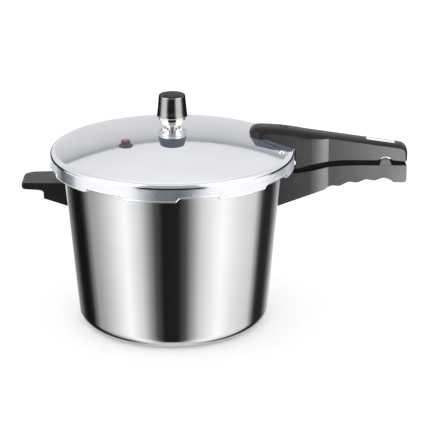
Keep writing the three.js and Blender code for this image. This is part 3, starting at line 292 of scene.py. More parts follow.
# %% Stack the rows
stack = tent_mix(pot_row, band_row, tent_step(elevation, -20.2, -18.8))
stack = tent_mix(stack, drum_row, tent_step(elevation, -17.2, -16.7))
bearing_squared = add_math(tent, "MULTIPLY", bearing, bearing)
cap_edge_line = add_math(tent, "MULTIPLY_ADD", bearing_squared, 0.00023, elevation)
stack = tent_mix(stack, cap_row, tent_step(cap_edge_line, -9.2, -8.2))
stack = tent_mix(stack, ceiling, tent_step(elevation, -3.0, 0.0))
whole = tent_mix(stack, (0.62, 0.62, 0.63, 1), tent_step(elevation, -62.0, -76.0))
print("tent:", len(tent.nodes), "nodes")

# %% [markdown]
# The tent is what shiny things mirror. Dull things and the floor are lit by one even white, which
# a Light Path node gives to all rays that don't come from a mirror.

# %% World output
path = add_node(tent, "ShaderNodeLightPath")
soft_white = (1.3, 1.3, 1.3, 1)
seen = tent_mix(soft_white, whole, path.outputs["Is Glossy Ray"])
sky = add_node(tent, "ShaderNodeBackground", Color=seen, Strength=1.0)
add_node(tent, "ShaderNodeOutputWorld", Surface=sky.outputs[0])
view_settings = bpy.context.scene.view_settings
view_settings.view_transform = "Standard"
view_settings.look = "None"

# %% [markdown]
# ## The floor
# A pale sheet far wider than the view. Mirrors look past it to the tent, as they would on a
# glass table over a light box.

# %% Floor
floor_bm = bmesh.new()
bmesh.ops.create_grid(floor_bm, x_segments=1, y_segments=1, size=9.0)
floor_mesh = bpy.data.meshes.new("floor")
floor_bm.to_mesh(floor_mesh)
floor_bm.free()
floor = bpy.data.objects.new("floor", floor_mesh)
floor.location.z = -0.0004
bpy.context.scene.collection.objects.link(floor)
floor.visible_glossy = False

floor_paper = bpy.data.materials.new("floor_paper")
floor_paper.use_nodes = True
paper_shader = floor_paper.node_tree.nodes["Principled BSDF"]
paper_shader.inputs["Base Color"].default_value = hex_colour("#F7F7F7")
paper_shader.inputs["Roughness"].default_value = 0.9
floor_mesh.materials.append(floor_paper)

# %% [markdown]
# ## Materials
# Every finish starts from the real material and how its surface was made. The helper below
# makes a Principled material and hands back its tree, shader and the piece's own coordinates,
# so that each finish only adds its pattern. Pattern sizes are real: a noise scale of
# 1000 / size_in_mm gives cells of that size, because coordinates are in metres.

# %% Helper for finishes
def new_finish(name, **sockets):
    material = bpy.data.materials.new(name)
    material.use_nodes = True
    tree = material.node_tree
    shader = tree.nodes["Principled BSDF"]
    for key, value in sockets.items():
        shader.inputs[key.replace("_", " ")].default_value = value
    place = add_node(tree, "ShaderNodeTexCoord").outputs["Object"]
    return material, tree, shader, place


def noise(tree, place, size_mm, stretch=(1, 1, 1), detail=3.0, roughness=0.55):
    """Noise with cells of a size in millimetres, stretched along an axis by a factor."""
    fit = add_node(tree, "ShaderNodeMapping", Vector=place,
                   Scale=tuple(1000 / (size_mm * s) for s in stretch))
    made = add_node(tree, "ShaderNodeTexNoise", Vector=fit.outputs[0], Scale=1.0, Detail=detail,
                    Roughness=roughness)
    return made.outputs[0]


def spread(tree, value, low, high, from_low=0.3, from_high=0.7):
    """Maps a pattern to a range, such as a roughness."""
    return add_node(tree, "ShaderNodeMapRange", Value=value, From_Min=from_low, From_Max=from_high,
                    To_Min=low, To_Max=high).outputs[0]


def tint(tree, value, first, second, low=0.35, high=0.65):
    """Blends two hex colours by a pattern."""
    part = spread(tree, value, 0.0, 1.0, low, high)
    blend = add_node(tree, "ShaderNodeMix", {"data_type": "RGBA"}, Factor=part)
    blend.inputs[6].default_value = hex_colour(first)
    blend.inputs[7].default_value = hex_colour(second)
    return blend.outputs[2]


def bump(tree, shader, height, depth_mm, strength):
    """Presses a pattern into the surface to a depth in millimetres."""
    made = add_node(tree, "ShaderNodeBump", Height=height, Strength=strength, Distance=depth_mm * MM)
    tree.links.new(made.outputs[0], shader.inputs["Normal"])


def drifting_finish(name, colours, rough, cloud_mm, patch_mm, metallic=1.0, detail=(3.0, 3.0)):
    """A finish whose colour drifts in clouds and whose roughness drifts in patches."""
    material, tree, shader, place = new_finish(name, Metallic=metallic, Roughness=rough[0])
    clouds = noise(tree, place, cloud_mm, detail=detail[0])
    patches = noise(tree, place, patch_mm, detail=detail[1])
    tree.links.new(tint(tree, clouds, *colours), shader.inputs["Base Color"])
    tree.links.new(spread(tree, patches, *rough), shader.inputs["Roughness"])
    return material, tree, shader, place


def round_turn(tree, place, radius_mm):
    """Coordinates that run round the cooker's axis: arc length, radius and height."""
    parts = add_node(tree, "ShaderNodeSeparateXYZ", Vector=place).outputs
    turn = add_math(tree, "ARCTAN2", parts[1], parts[0])
    arc = add_math(tree, "MULTIPLY", turn, radius_mm * MM)
    flat = add_math(tree, "SQRT", add_math(tree, "ADD", add_math(tree, "MULTIPLY", parts[0], parts[0]),
                                           add_math(tree, "MULTIPLY", parts[1], parts[1])))
    return add_node(tree, "ShaderNodeCombineXYZ", X=arc, Y=flat, Z=parts[2]).outputs[0]

# %% [markdown]
# ### Mirror-polished aluminium
# The pot is drawn, spun against a polishing wheel and buffed. Buffing leaves hairlines that run
# round the wall, far too fine to see one by one: they only widen a highlight a touch. The
# roughness changes a little over some tens of millimetres, which keeps it from looking plastic.

# %% Polished pot and lid
def polished_aluminium(name, colours, rough, radius_mm, hair_depth):
    material, tree, shader, place = drifting_finish(name, colours, rough, 60, 25, detail=(2.0, 3.0))
    hairs = noise(tree, round_turn(tree, place, radius_mm), 0.6, stretch=(60, 1, 1), detail=2.0)
    bump(tree, shader, hairs, hair_depth, 0.4)
    return material


POLISHED_POT = polished_aluminium("aluminium_mirror_polished", ("#F1F1F1", "#EBECED"), (0.035, 0.075),
                                  105, 0.0006)
POLISHED_LID = polished_aluminium("aluminium_lid_polished", ("#F2F2F4", "#ECECEF"), (0.015, 0.03),
                                  110, 0.00003)

# %% [markdown]
# ### Brushed aluminium band
# The lid's band is brushed upright after pressing and then lightly buffed, so it still mirrors
# the tent but a touch more softly than the pot. Real brush lines are 0.05 mm wide; here they are
# 0.5 mm, so that they show at this size.

# %% Brushed band
BRUSHED_BAND, tree, shader, place = new_finish("aluminium_band_brushed", Metallic=1.0, Roughness=0.09)
turned = round_turn(tree, place, 120)
strokes = noise(tree, turned, 0.5, stretch=(1, 30, 14), detail=4.0)
patches = noise(tree, turned, 9, detail=2.0)
tree.links.new(tint(tree, strokes, "#F4F5F7", "#E9EBEE"), shader.inputs["Base Color"])
rub = add_math(tree, "ADD", spread(tree, strokes, 0.06, 0.11), spread(tree, patches, -0.01, 0.02))
tree.links.new(rub, shader.inputs["Roughness"])
bump(tree, shader, strokes, 0.0008, 0.3)

# %% [markdown]
# ### Plain aluminium and zinc-plated steel
# Rivets and the pot's brackets are tumbled, not polished. Nuts, the pin's clip and the screws of
# the pot's handles are steel with a thin grey zinc coat that looks faintly cloudy. The lid's
# bracket is pressed steel whose dark blue-grey is painted shade from the handle's nose, and the
# screw in the upper handle is coloured near black.

# %% Plain metals
def clouded_metal(name, colours, rough, cloud_mm=5, patch_mm=2, grain_mm=0.6, grain_depth=0.008):
    material, tree, shader, place = drifting_finish(name, colours, rough, cloud_mm, patch_mm)
    bump(tree, shader, noise(tree, place, grain_mm), grain_depth, 0.3)
    return material


PLAIN_ALUMINIUM = clouded_metal("aluminium_tumbled", ("#C9CBCE", "#B4B7BB"), (0.28, 0.45), 2.5, 0.8,
                                0.4, 0.02)
ZINC_STEEL = clouded_metal("steel_zinc_plated", ("#B9BDC6", "#A3A7B1"), (0.16, 0.32), 6, 3, 0.7, 0.01)
# Pressed steel whose dark blue-grey colour is painted shade under the handle's nose.
BRACKET_STEEL_PAINTED_SHADE = clouded_metal("steel_pressed_painted_shade", ("#646A79", "#565C69"), (0.34, 0.44))
# Near-black steel for the screw in the upper handle.
DARK_SCREW_STEEL = clouded_metal("steel_near_black", ("#34353A", "#26272B"), (0.30, 0.45))

# %% [markdown]
# ### Chrome, black chrome and brass
# The weight's body is turned steel with bright chrome over it, and its cap has black chrome,
# which mirrors about half of the light, with a satin top where fingers press. The skirt is
# turned brass with a thin nickel wash, so it is pale and shows faint rings from the lathe, and
# the inside of its slots is painted dark brown, which is painted shade. The bowl is pressed steel, less
# bright, and the vent's post is steel as the lathe left it.

# %% Plated and turned metals
def plated(name, colours, rough, ring_mm, ring_depth):
    """Plated or turned metal, with rings from the lathe."""
    material, tree, shader, place = drifting_finish(name, colours, rough, 8, 4)
    rings = noise(tree, round_turn(tree, place, 12), ring_mm, stretch=(200, 200, 1), detail=1.0)
    bump(tree, shader, rings, ring_depth, 0.4)
    return material


CHROME = plated("steel_chromed", ("#F3F4F6", "#E6E8EB"), (0.03, 0.06), 0.8, 0.0008)
BOWL_STEEL = plated("steel_bowl_pressed", ("#D6DAE1", "#C4C9D2"), (0.20, 0.28), 1.2, 0.002)
TURNED_STEEL = plated("steel_turned_satin", ("#8E9096", "#777A80"), (0.22, 0.32), 0.5, 0.003)
BLACK_CHROME = plated("black_chrome_plated_bright", ("#C6C3C1", "#B9B7B5"), (0.09, 0.14), 1.5, 0.0012)
TURNED_BRASS = plated("brass_nickel_washed", ("#E9DDCC", "#CDBB9E"), (0.14, 0.26), 0.5, 0.004)
# Dark brown for the inside of the slots: painted shade.
BRASS_PAINTED_SLOT_SHADE = plated("brass_painted_slot_shade", ("#4A3024", "#2A1A14"), (0.40, 0.55), 0.5, 0.004)

# %% [markdown]
# ### Black bakelite
# The handles are pressed from bakelite in a steel mould that was blasted with fine grit, so
# the surface is satin with a grain of a few tenths of a millimetre. Skin from the mould varies
# in gloss over some centimetres, and the colour is a warm black that turns violet in the light.
# Faces in the slot between the grips, under the upper grip, in its hollow and against the rim
# are matt, and their darker black is painted shade. The satin top of the weight's cap takes the
# same soft grain.

# %% Moulded bakelite
def bakelite(name, colours, rough, grain_depth, shine=0.3):
    material, tree, shader, place = drifting_finish(name, colours, rough, 14, 30, 0.0, (4.0, 2.0))
    bump(tree, shader, noise(tree, place, 0.7, detail=5.0, roughness=0.7), grain_depth, 0.6)
    shader.inputs["Specular IOR Level"].default_value = shine
    return material


BAKELITE = bakelite("bakelite_moulded_satin", ("#151416", "#0F0E10"), (0.30, 0.37), 0.05, 0.26)
# Matt bakelite whose darker black is painted shade for faces in the slot, underneath and in the hollow.
BAKELITE_PAINTED_SHADE = bakelite("bakelite_matt_painted_shade", ("#0E0E0F", "#080808"), (0.80, 0.90), 0.04, 0.05)
CAP_TOP = bakelite("black_chrome_satin_top", ("#211E21", "#1A181A"), (0.50, 0.60), 0.03)

# %% [markdown]
# ### Rubbers and the label plate
# Moulded rubber is matt, with a bloom that lightens it in patches and specks of dust in its
# pores. The pin is red silicone, and the blank plate is a thin satin plastic.

# %% Rubber, silicone and plate
def moulded(name, colours, roughness, pore_mm, pore_depth):
    rough = (roughness - 0.06, roughness + 0.08)
    material, tree, shader, place = drifting_finish(name, colours, rough, 3, 2, 0.0, (4.0, 3.0))
    bump(tree, shader, noise(tree, place, pore_mm, detail=4.0), pore_depth, 0.5)
    return material


SLATE_RUBBER = moulded("rubber_slate_moulded", ("#4F5967", "#434B57"), 0.50, 0.6, 0.02)
BLACK_RUBBER = moulded("rubber_black_moulded", ("#4A4748", "#3C3A3B"), 0.55, 0.5, 0.03)
GREY_RUBBER = moulded("silicone_grey_moulded", ("#6A6D70", "#5D6063"), 0.60, 0.8, 0.02)
RED_SILICONE = moulded("silicone_red_moulded", ("#D0304C", "#B82440"), 0.40, 0.6, 0.01)
LABEL_PLASTIC = moulded("label_plastic_satin", ("#E9E9E4", "#DEDED8"), 0.45, 1.2, 0.005)
print("finishes:", len(bpy.data.materials))

# %% [markdown]
# ## Turning a piece on its axis
# Almost everything on a pan is round, so the first modelling helper is a lathe: an outline of
# radius and height is drawn as one loop of edges and spun once round the Z axis. Points on the
# axis are merged, normals are recalculated, and edges sharper than 35 degrees are marked sharp,
# so that flat and round stretches both shade cleanly.

# %% Lathe helpers
def arc_points(x, z, radius, start, end, steps):
    """Points on an arc, angles in degrees from +x toward +z, both ends included."""
    turn = [math.radians(start + (end - start) * k / steps) for k in range(steps + 1)]
    return [(x + radius * math.cos(a), z + radius * math.sin(a)) for a in turn]


def curve_points(start, pull, end, steps):
    """Points on a curve that leaves start and reaches end, bent towards pull."""
    made = []
    for k in range(steps + 1):
        t = k / steps
        made.append(tuple((1 - t) ** 2 * a + 2 * t * (1 - t) * b + t * t * c
                          for a, b, c in zip(start, pull, end)))
    return made

# %% [markdown]
# An outline becomes edges, and a finished solid becomes an object that rides on its body.

# %% From outline to piece
def outline_loop(bm, points, to_vector):
    """Draws points as vertices joined by edges all round, but not along the axis."""
    verts = [bm.verts.new(to_vector(p)) for p in points]
    edges = [bm.edges.new((verts[k - 1], verts[k])) for k in range(len(verts))
             if not (points[k - 1][0] == 0 and points[k][0] == 0)]
    return verts, edges


def mark_sharp(bm, degrees=35):
    """Smooth faces, with sharp edges where two faces meet steeply."""
    for face in bm.faces:
        face.smooth = True
    for edge in bm.edges:
        if len(edge.link_faces) == 2:
            edge.smooth = edge.calc_face_angle(0) < math.radians(degrees)


def finish_piece(bm, name, body, finishes, replaced, bevel_mm=0.0, mirrored=False):
    """Turns a bmesh in millimetres into a piece that rides on a body and replaces CAD nodes."""
    bmesh.ops.scale(bm, vec=(MM, MM, MM), verts=bm.verts)
    mark_sharp(bm)
    mesh = bpy.data.meshes.new(name)
    bm.to_mesh(mesh)
    bm.free()
    piece = bpy.data.objects.new(name, mesh)
    bpy.context.scene.collection.objects.link(piece)
    for finish in finishes:
        mesh.materials.append(finish)
    if bevel_mm:
        edge = piece.modifiers.new("rounded_edges", "BEVEL")
        edge.width = bevel_mm * MM
        edge.segments = 2
        edge.limit_method = "ANGLE"
        edge.angle_limit = math.radians(38)
        flat = piece.modifiers.new("flat_faces", "WEIGHTED_NORMAL")
        flat.keep_sharp = True
    piece.visible_glossy = mirrored
    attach(piece, body)
    if replaced:
        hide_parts(*replaced)
    print(f"{name}: {len(mesh.polygons)} faces")


def turn_bmesh(bm, angle, axis="Z", height=0.0):
    """Turns a solid about an axis through a height on the middle line."""
    bmesh.ops.rotate(bm, cent=(0, 0, height), matrix=Matrix.Rotation(angle, 3, axis), verts=bm.verts)


def turned_bmesh(outline, steps=192, centre=(0, 0)):
    """Spins an outline of (radius, height) round an upright axis."""
    bm = bmesh.new()
    verts, edges = outline_loop(bm, outline, lambda p: (p[0], 0, p[1]))
    bmesh.ops.spin(bm, geom=verts + edges, cent=(0, 0, 0), axis=(0, 0, 1), angle=math.tau,
                   steps=steps, use_merge=True, use_duplicate=False)
    bmesh.ops.remove_doubles(bm, verts=bm.verts, dist=1e-4)
    bmesh.ops.recalc_face_normals(bm, faces=bm.faces)
    if centre != (0, 0):
        bmesh.ops.translate(bm, vec=(*centre, 0), verts=bm.verts)
    return bm

# %% [markdown]
# ## The pot
# The outline runs from the middle of the base out over the rounded corner, up the leaning wall
# to the flange, over its rolled edge and back down inside. Two shallow rings are pressed into
# the base, as a drawn pot has to keep it flat when hot.

# %% Pot outline
def wall_radius(height):
    return BASE_RADIUS + (height - CORNER) * math.tan(WALL_LEAN)


POT_WALL = 2.2
FLOOR = 3.0
corner_x = wall_radius(CORNER) - CORNER / math.cos(WALL_LEAN)
lean_degrees = math.degrees(WALL_LEAN)
inset = POT_WALL / math.cos(WALL_LEAN)
flange_radius = POT_RADIUS + 3.1
flange_bottom = POT_TOP - FLANGE
pot_outline = [(0, 0.5), (24, 0.5), (25, 0), (57, 0), (58, 0.5), (62, 0.5), (63, 0)]
pot_outline += arc_points(corner_x, CORNER, CORNER, -90, -lean_degrees, 24)
pot_outline += [(wall_radius(z), z) for z in (50, 90, 125, 150, 158.5)]
pot_outline += arc_points(wall_radius(flange_bottom) + 1.4, flange_bottom - 1.4, 1.4, 180, 90, 5)
pot_outline += [(flange_radius - 0.6, flange_bottom), (flange_radius, flange_bottom + 0.6)]
pot_outline += [(flange_radius, POT_TOP - 0.6), (flange_radius - 0.6, POT_TOP)]
mouth_radius = wall_radius(POT_TOP) - inset
pot_outline += [(mouth_radius + 0.8, POT_TOP), (mouth_radius, POT_TOP - 0.8)]
pot_outline += [(wall_radius(z) - inset, z) for z in (120, 70, 30)]
pot_outline += arc_points(corner_x, FLOOR + CORNER - POT_WALL, CORNER - POT_WALL, -lean_degrees, -90, 12)
pot_outline += [(0, FLOOR)]

# %% [markdown]
# The eight lugs of the bayonet are pulled out of the flange: after the spin, the flange's outer
# vertices move outward wherever their bearing lies inside a lug.

# %% Pot with its lugs
LUG_COUNT = 8
LUG_PHASE = -9.45
LUG_PITCH = 360 / LUG_COUNT
POT_LUG = 16.5
LUG_REACH = 6.0


def off_lug(vert):
    """Degrees between a vertex's bearing and the nearest lug's centre."""
    bearing_here = math.degrees(math.atan2(vert.co.y, vert.co.x))
    return abs((bearing_here - LUG_PHASE + LUG_PITCH / 2) % LUG_PITCH - LUG_PITCH / 2)


pot_bm = turned_bmesh(pot_outline, 720)
for vert in pot_bm.verts:
    radius = math.hypot(vert.co.x, vert.co.y)
    if radius > flange_radius - 0.8 and vert.co.z > flange_bottom - 0.1 and off_lug(vert) <= POT_LUG / 2:
        grow = (radius + LUG_REACH) / radius
        vert.co.x *= grow
        vert.co.y *= grow
finish_piece(pot_bm, "pot_shell", "pot", [POLISHED_POT], ["pot_body"],
             mirrored=True)

# %% [markdown]
# ## The lid
# The lid is pressed from one disc: a nearly flat crown, a rounded shoulder, an upright band and
# a hook turned inward at its lower edge, with a thin bead outside. Between the lugs the band
# is cut 3.5 mm higher and the hook is gone, with sloping ends. The faces of the band get the
# brushed finish, and everything else is polished.

# %% Lid outline
SHOULDER = 4.5
LID_WALL = 2.0
HOOK = 2.3
HOOK_RADIUS = 111.5
BAND_STEP = 3.5
GAP_HALF = (LUG_PITCH - 28) / 2
GAP_SLOPE = 2.0
flat_radius = RIM - SHOULDER
band_face = RIM - 0.4
band_inner = RIM - LID_WALL


def lid_height(radius):
    return LID_HIGH.z - LID_CROWN * (radius / flat_radius) ** 2


VENT_HOLE = 4.5
lid_outline = [(VENT_HOLE, lid_height(0))]
lid_outline += [(r, lid_height(r)) for r in (12, 24, 36, 48, 60, 72, 84, 94, 102, 108, 112, 114.5)]
lid_outline += arc_points(flat_radius - 0.4, LID_EDGE - SHOULDER, SHOULDER, 88, 0, 12)
lid_outline += [(band_face, z) for z in (170, 168, 166, 164, BAND_BOTTOM + 2.2)]
lid_outline += arc_points(RIM - 0.8, BAND_BOTTOM + 0.8, 0.8, 60, -90, 6)
lid_outline += [(band_inner - 0.3, BAND_BOTTOM), (HOOK_RADIUS + 0.4, BAND_BOTTOM)]
lid_outline += [(HOOK_RADIUS, BAND_BOTTOM + 0.4), (HOOK_RADIUS, BAND_BOTTOM + HOOK - 0.4)]
lid_outline += [(HOOK_RADIUS + 0.4, BAND_BOTTOM + HOOK), (band_inner, BAND_BOTTOM + HOOK)]
lid_outline += [(band_inner, 166), (band_inner, LID_EDGE - SHOULDER)]
lid_outline += arc_points(flat_radius, LID_EDGE - SHOULDER, SHOULDER - LID_WALL, 0, 90, 6)[1:]
lid_outline += [(r, lid_height(r) - LID_WALL) for r in (105.5, 105.2, 103.2, 103, 80, 50, 20, VENT_HOLE)]

# %% [markdown]
# The hook is pushed back and the band lifted wherever a vertex lies in a gap between two lugs. A
# rib is then pulled down from the lid's underside to hold the gasket.

# %% Lid with its lugs
lid_bm = turned_bmesh(lid_outline, 720)
for vert in lid_bm.verts:
    radius = math.hypot(vert.co.x, vert.co.y)
    if vert.co.z > BAND_BOTTOM + HOOK + 0.01 or radius < HOOK_RADIUS - 0.01:
        continue
    off_gap = LUG_PITCH / 2 - off_lug(vert)
    part = min(1.0, max(0.0, (GAP_HALF + GAP_SLOPE - off_gap) / GAP_SLOPE))
    part = part * part * (3 - 2 * part)
    if radius < band_inner - 0.31:
        wanted = band_inner - 0.3 + (radius - band_inner) * 0.02
        grow = 1 + (wanted / radius - 1) * part
        vert.co.x *= grow
        vert.co.y *= grow
    vert.co.z += BAND_STEP * part
ribs = [f for f in lid_bm.faces if 103.1 < Vector(f.calc_center_median()[:2]).length < 105.3
        and f.normal.z < -0.9 and f.calc_center_median().z > 170]
rib = bmesh.ops.extrude_face_region(lid_bm, geom=ribs)
RIB_DEPTH = 4.0
rib_verts = [v for v in rib["geom"] if isinstance(v, bmesh.types.BMVert)]
bmesh.ops.translate(lid_bm, vec=(0, 0, -RIB_DEPTH), verts=rib_verts)
bmesh.ops.delete(lid_bm, geom=ribs, context="FACES")
bmesh.ops.recalc_face_normals(lid_bm, faces=lid_bm.faces)
for face in lid_bm.faces:
    centre = face.calc_center_median()
    outside = Vector(centre[:2]).length > flat_radius + 0.3
    face.material_index = 1 if outside and centre.z < LID_EDGE - SHOULDER + 1.5 else 0
finish_piece(lid_bm, "lid_pressing", "lid",
             [POLISHED_LID, BRUSHED_BAND], ["lid_shell"], mirrored=True)

# %% [markdown]
# ## Moulded pieces: a slab and what is cut from it
# A moulded handle is drawn by its side view. The slab helper stretches that outline across and
# then insets both caps in small steps along a quarter ellipse, which rounds the long edges as a
# mould would. Holes, pockets and the fit on the lid are cut with Boolean modifiers: each tool
# becomes a short-lived object, the result is read back as a bmesh, and the tools are removed.

# %% Slab and prism helpers
def stretched_bmesh(points, to_vector, shift):
    """Closes an outline into a solid by moving it along a vector."""
    bm = bmesh.new()
    verts, edges = outline_loop(bm, points, to_vector)
    grown = bmesh.ops.extrude_edge_only(bm, edges=edges)["geom"]
    moved = [g for g in grown if isinstance(g, bmesh.types.BMVert)]
    bmesh.ops.translate(bm, vec=shift, verts=moved)
    caps = bmesh.ops.holes_fill(bm, edges=bm.edges, sides=0)["faces"]
    bmesh.ops.recalc_face_normals(bm, faces=bm.faces)
    return bm, caps


def prism_bmesh(plan, bottom, top):
    """Upright solid from a plan outline of (x, y)."""
    return stretched_bmesh(plan, lambda p: (p[0], p[1], bottom), (0, 0, top - bottom))[0]


def slab_bmesh(side, width, inward=0.0, across=0.0, steps=8):
    """Solid from a side outline of (x, z), with its edges rounded inward and across."""
    flat = width / 2 - across
    bm, caps = stretched_bmesh(side, lambda p: (p[0], -flat, p[1]), (0, 2 * flat, 0))
    if across:
        turns = [math.radians(90 * k / steps) for k in range(steps + 1)]
        for last, turn in zip(turns, turns[1:]):
            step_in = inward * (math.cos(last) - math.cos(turn))
            step_out = across * (math.sin(turn) - math.sin(last))
            for cap in caps:
                bmesh.ops.inset_region(bm, faces=[cap], thickness=step_in, depth=step_out,
                                       use_boundary=True, use_even_offset=True)
    return bm

# %% [markdown]
# Carving needs objects, because Boolean is a modifier. They live only as long as the cut.

# %% Carving helpers
def short_lived(bm):
    """An object for a Boolean modifier, made from a bmesh that isn't needed afterwards."""
    mesh = bpy.data.meshes.new("tool")
    bm.to_mesh(mesh)
    bm.free()
    tool = bpy.data.objects.new("tool", mesh)
    bpy.context.scene.collection.objects.link(tool)
    return tool


def carve(bm, *cuts):
    """Applies Boolean cuts in turn: each is an operation and the bmesh to cut with."""
    blank = short_lived(bm)
    tools = [blank]
    for operation, tool_bm in cuts:
        tools.append(short_lived(tool_bm))
        cut = blank.modifiers.new(operation.lower(), "BOOLEAN")
        cut.operation = operation
        cut.solver = "EXACT"
        cut.object = tools[-1]
    carved = blank.evaluated_get(bpy.context.evaluated_depsgraph_get())
    result = bmesh.new()
    result.from_mesh(carved.to_mesh())
    carved.to_mesh_clear()
    for tool in tools:
        mesh = tool.data
        bpy.data.objects.remove(tool)
        bpy.data.meshes.remove(mesh)
    bmesh.ops.remove_doubles(result, verts=result.verts, dist=0.004)
    bmesh.ops.dissolve_degenerate(result, edges=result.edges, dist=0.004)
    return result


def post_bmesh(radius, bottom, top, x=0.0, y=0.0, steps=48):
    """Upright post for a hole or a pocket."""
    return turned_bmesh([(0, bottom), (radius, bottom), (radius, top), (0, top)], steps, (x, y))

# %% [markdown]
# ## The upper handle
# It is screwed to a bracket on the lid: a high rounded nose over the lid, a waist just outside
# the rim and a grip that thins towards its end. It is hollow below, and a groove near its end
# takes a ridge of the lower handle, which guides it when the lid turns.

# %% Upper handle's lines
SEAT = 0.3
HANDLE_END = TOP_HIGH.x
NOSE_X = TOP_LOW.x
NOSE_TOP = TOP_HIGH.z
END_TOP = LID_EDGE + 4.3
HANDLE_WIDTH = TOP_HIGH.y - TOP_LOW.y
BEND_END = NOSE_X + 55
RIM_FIT = RIM + 1.2
GRIP_UNDERSIDE = LID_EDGE - 10.1
RIDGE_X = HANDLE_END - 21.5
RIDGE_Z = GRIP_UNDERSIDE - 5.6
DEEP = BAND_BOTTOM - 12
ABOVE = LID_HIGH.z + 60


def roof_height(x):
    """Height of the upper handle's top line."""
    if x < BEND_END:
        t = max(0.0, (x - NOSE_X - 11) / 44)
        return NOSE_TOP - 0.4 * t * (1 - t) - 4.8 * t * t
    part = (x - BEND_END) / (HANDLE_END - 9 - BEND_END)
    return NOSE_TOP - 4.8 + (END_TOP - NOSE_TOP + 4.8) * part


def roof_line(start, end, drop, steps=16):
    xs = [start + (end - start) * k / steps for k in range(steps + 1)]
    return [(x, roof_height(x) - drop) for x in xs]


def waist_line(half):
    """Half of a long handle's plan from its root past its end, a hair outside it before the waist."""
    start = RIM + 14
    waist = curve_points((start, half + 0.02), (start + 11.4, half), (start + 19, half - 2), 10)
    return [(start - 8, half + 1)] + waist + [(HANDLE_END + 10, half - 2)]


def both_sides(points):
    return points + [(x, -y) for x, y in reversed(points)]


# %% Upper handle's solid
top_side = curve_points((NOSE_X, NOSE_TOP - 11), (NOSE_X, NOSE_TOP), (NOSE_X + 11, NOSE_TOP), 10)
top_side += roof_line(NOSE_X + 11, BEND_END, 0, 10)[1:] + [(HANDLE_END - 9, END_TOP)]
top_side += curve_points((HANDLE_END - 9, END_TOP), (HANDLE_END, END_TOP - 0.6),
                         (HANDLE_END, END_TOP - 10), 10)[1:]
top_side += [(HANDLE_END, DEEP - 6), (NOSE_X, DEEP - 6)]
half = HANDLE_WIDTH / 2
top_plan = both_sides(arc_points(NOSE_X + half, 0, half, 180, 90, 16)[:-1] + [(NOSE_X + half + 3, half + 1)]
                      + waist_line(half))
under_lid = [(NOSE_X - 10, NOSE_TOP - 6)] + curve_points(
    (NOSE_X - 0.1, NOSE_TOP - 7), (NOSE_X + 0.4, LID_EDGE + 11.4), (NOSE_X + 7, LID_EDGE + 11), 8)
under_lid += [(RIM - 28.2, LID_EDGE + 11), (RIM + 6, LID_EDGE - 0.4),
             (RIM + 6, DEEP - 10), (NOSE_X - 10, DEEP - 10)]
under_grip = [(0, TOP_LOW.z), (RIM_FIT, TOP_LOW.z)]
under_grip += curve_points((RIM + 6, TOP_LOW.z + 1), (RIM + 24, GRIP_UNDERSIDE - 1),
                           (RIM + 48, GRIP_UNDERSIDE), 10)
under_grip += [(HANDLE_END - 16, GRIP_UNDERSIDE), (HANDLE_END + 10, GRIP_UNDERSIDE - 2.6),
               (HANDLE_END + 10, DEEP - 10), (0, DEEP - 10)]
cavity_end = RIDGE_X - 12.9
cavity = roof_line(NOSE_X + 11, cavity_end, 6) + [(cavity_end, DEEP - 10), (NOSE_X + 11, DEEP - 10)]
over_lid = carve(slab_bmesh(under_lid, 2 * HANDLE_WIDTH),
                 ("INTERSECT", post_bmesh(RIM_FIT, DEEP - 10, ABOVE, steps=360)))
groove_bm = turned_bmesh(arc_points(RIDGE_X, RIDGE_Z, 8.9, 0, 348, 29), 288)

# %% [markdown]
# A plate is let into the slope near the end, and a screw goes down through the nose to the nut.

# %% Label plate and upper handle
LABEL_X = HANDLE_END - 26.5
LABEL_SLOPE = math.atan2(roof_height(LABEL_X - 1) - roof_height(LABEL_X + 1), 2)
BRACKET_END = RIM - SHOULDER + 0.5
TOP_SCREW_X = BRACKET_END - 6.5
SCREW_HOLE = 2.7
HEAD_POCKET = 4.7
screw_seat = roof_height(TOP_SCREW_X) - 3.2


def label_bmesh(length, width, depth):
    """Rounded plate in the slope of the handle's end."""
    corners_plan = []
    for x, y, start in ((1, 1, 0), (-1, 1, 90), (-1, -1, 180), (1, -1, 270)):
        corners_plan += arc_points(x * (length / 2 - 1), y * (width / 2 - 1), 1, start, start + 90, 5)
    bm = prism_bmesh(corners_plan, -depth, 0.15)
    turn_bmesh(bm, LABEL_SLOPE, "Y")
    bmesh.ops.translate(bm, vec=(LABEL_X, 0, roof_height(LABEL_X)), verts=bm.verts)
    return bm


top_handle = carve(
    slab_bmesh(top_side, HANDLE_WIDTH, 5.8, 12.0, 10),
    ("INTERSECT", prism_bmesh(top_plan, DEEP - 20, ABOVE)),
    ("DIFFERENCE", post_bmesh(RIM_FIT, DEEP - 10, LID_EDGE + 1.6, steps=360)),
    ("DIFFERENCE", over_lid),
    ("DIFFERENCE", slab_bmesh(under_grip, 2 * HANDLE_WIDTH)),
    ("DIFFERENCE", slab_bmesh(cavity, HANDLE_WIDTH - 8.8)),
    ("DIFFERENCE", groove_bm),
    ("DIFFERENCE", label_bmesh(28.6, 7.6, 1.5)),
    ("DIFFERENCE", post_bmesh(SCREW_HOLE, LID_EDGE, ABOVE, TOP_SCREW_X)),
    ("DIFFERENCE", post_bmesh(HEAD_POCKET, screw_seat - SEAT, ABOVE, TOP_SCREW_X)))
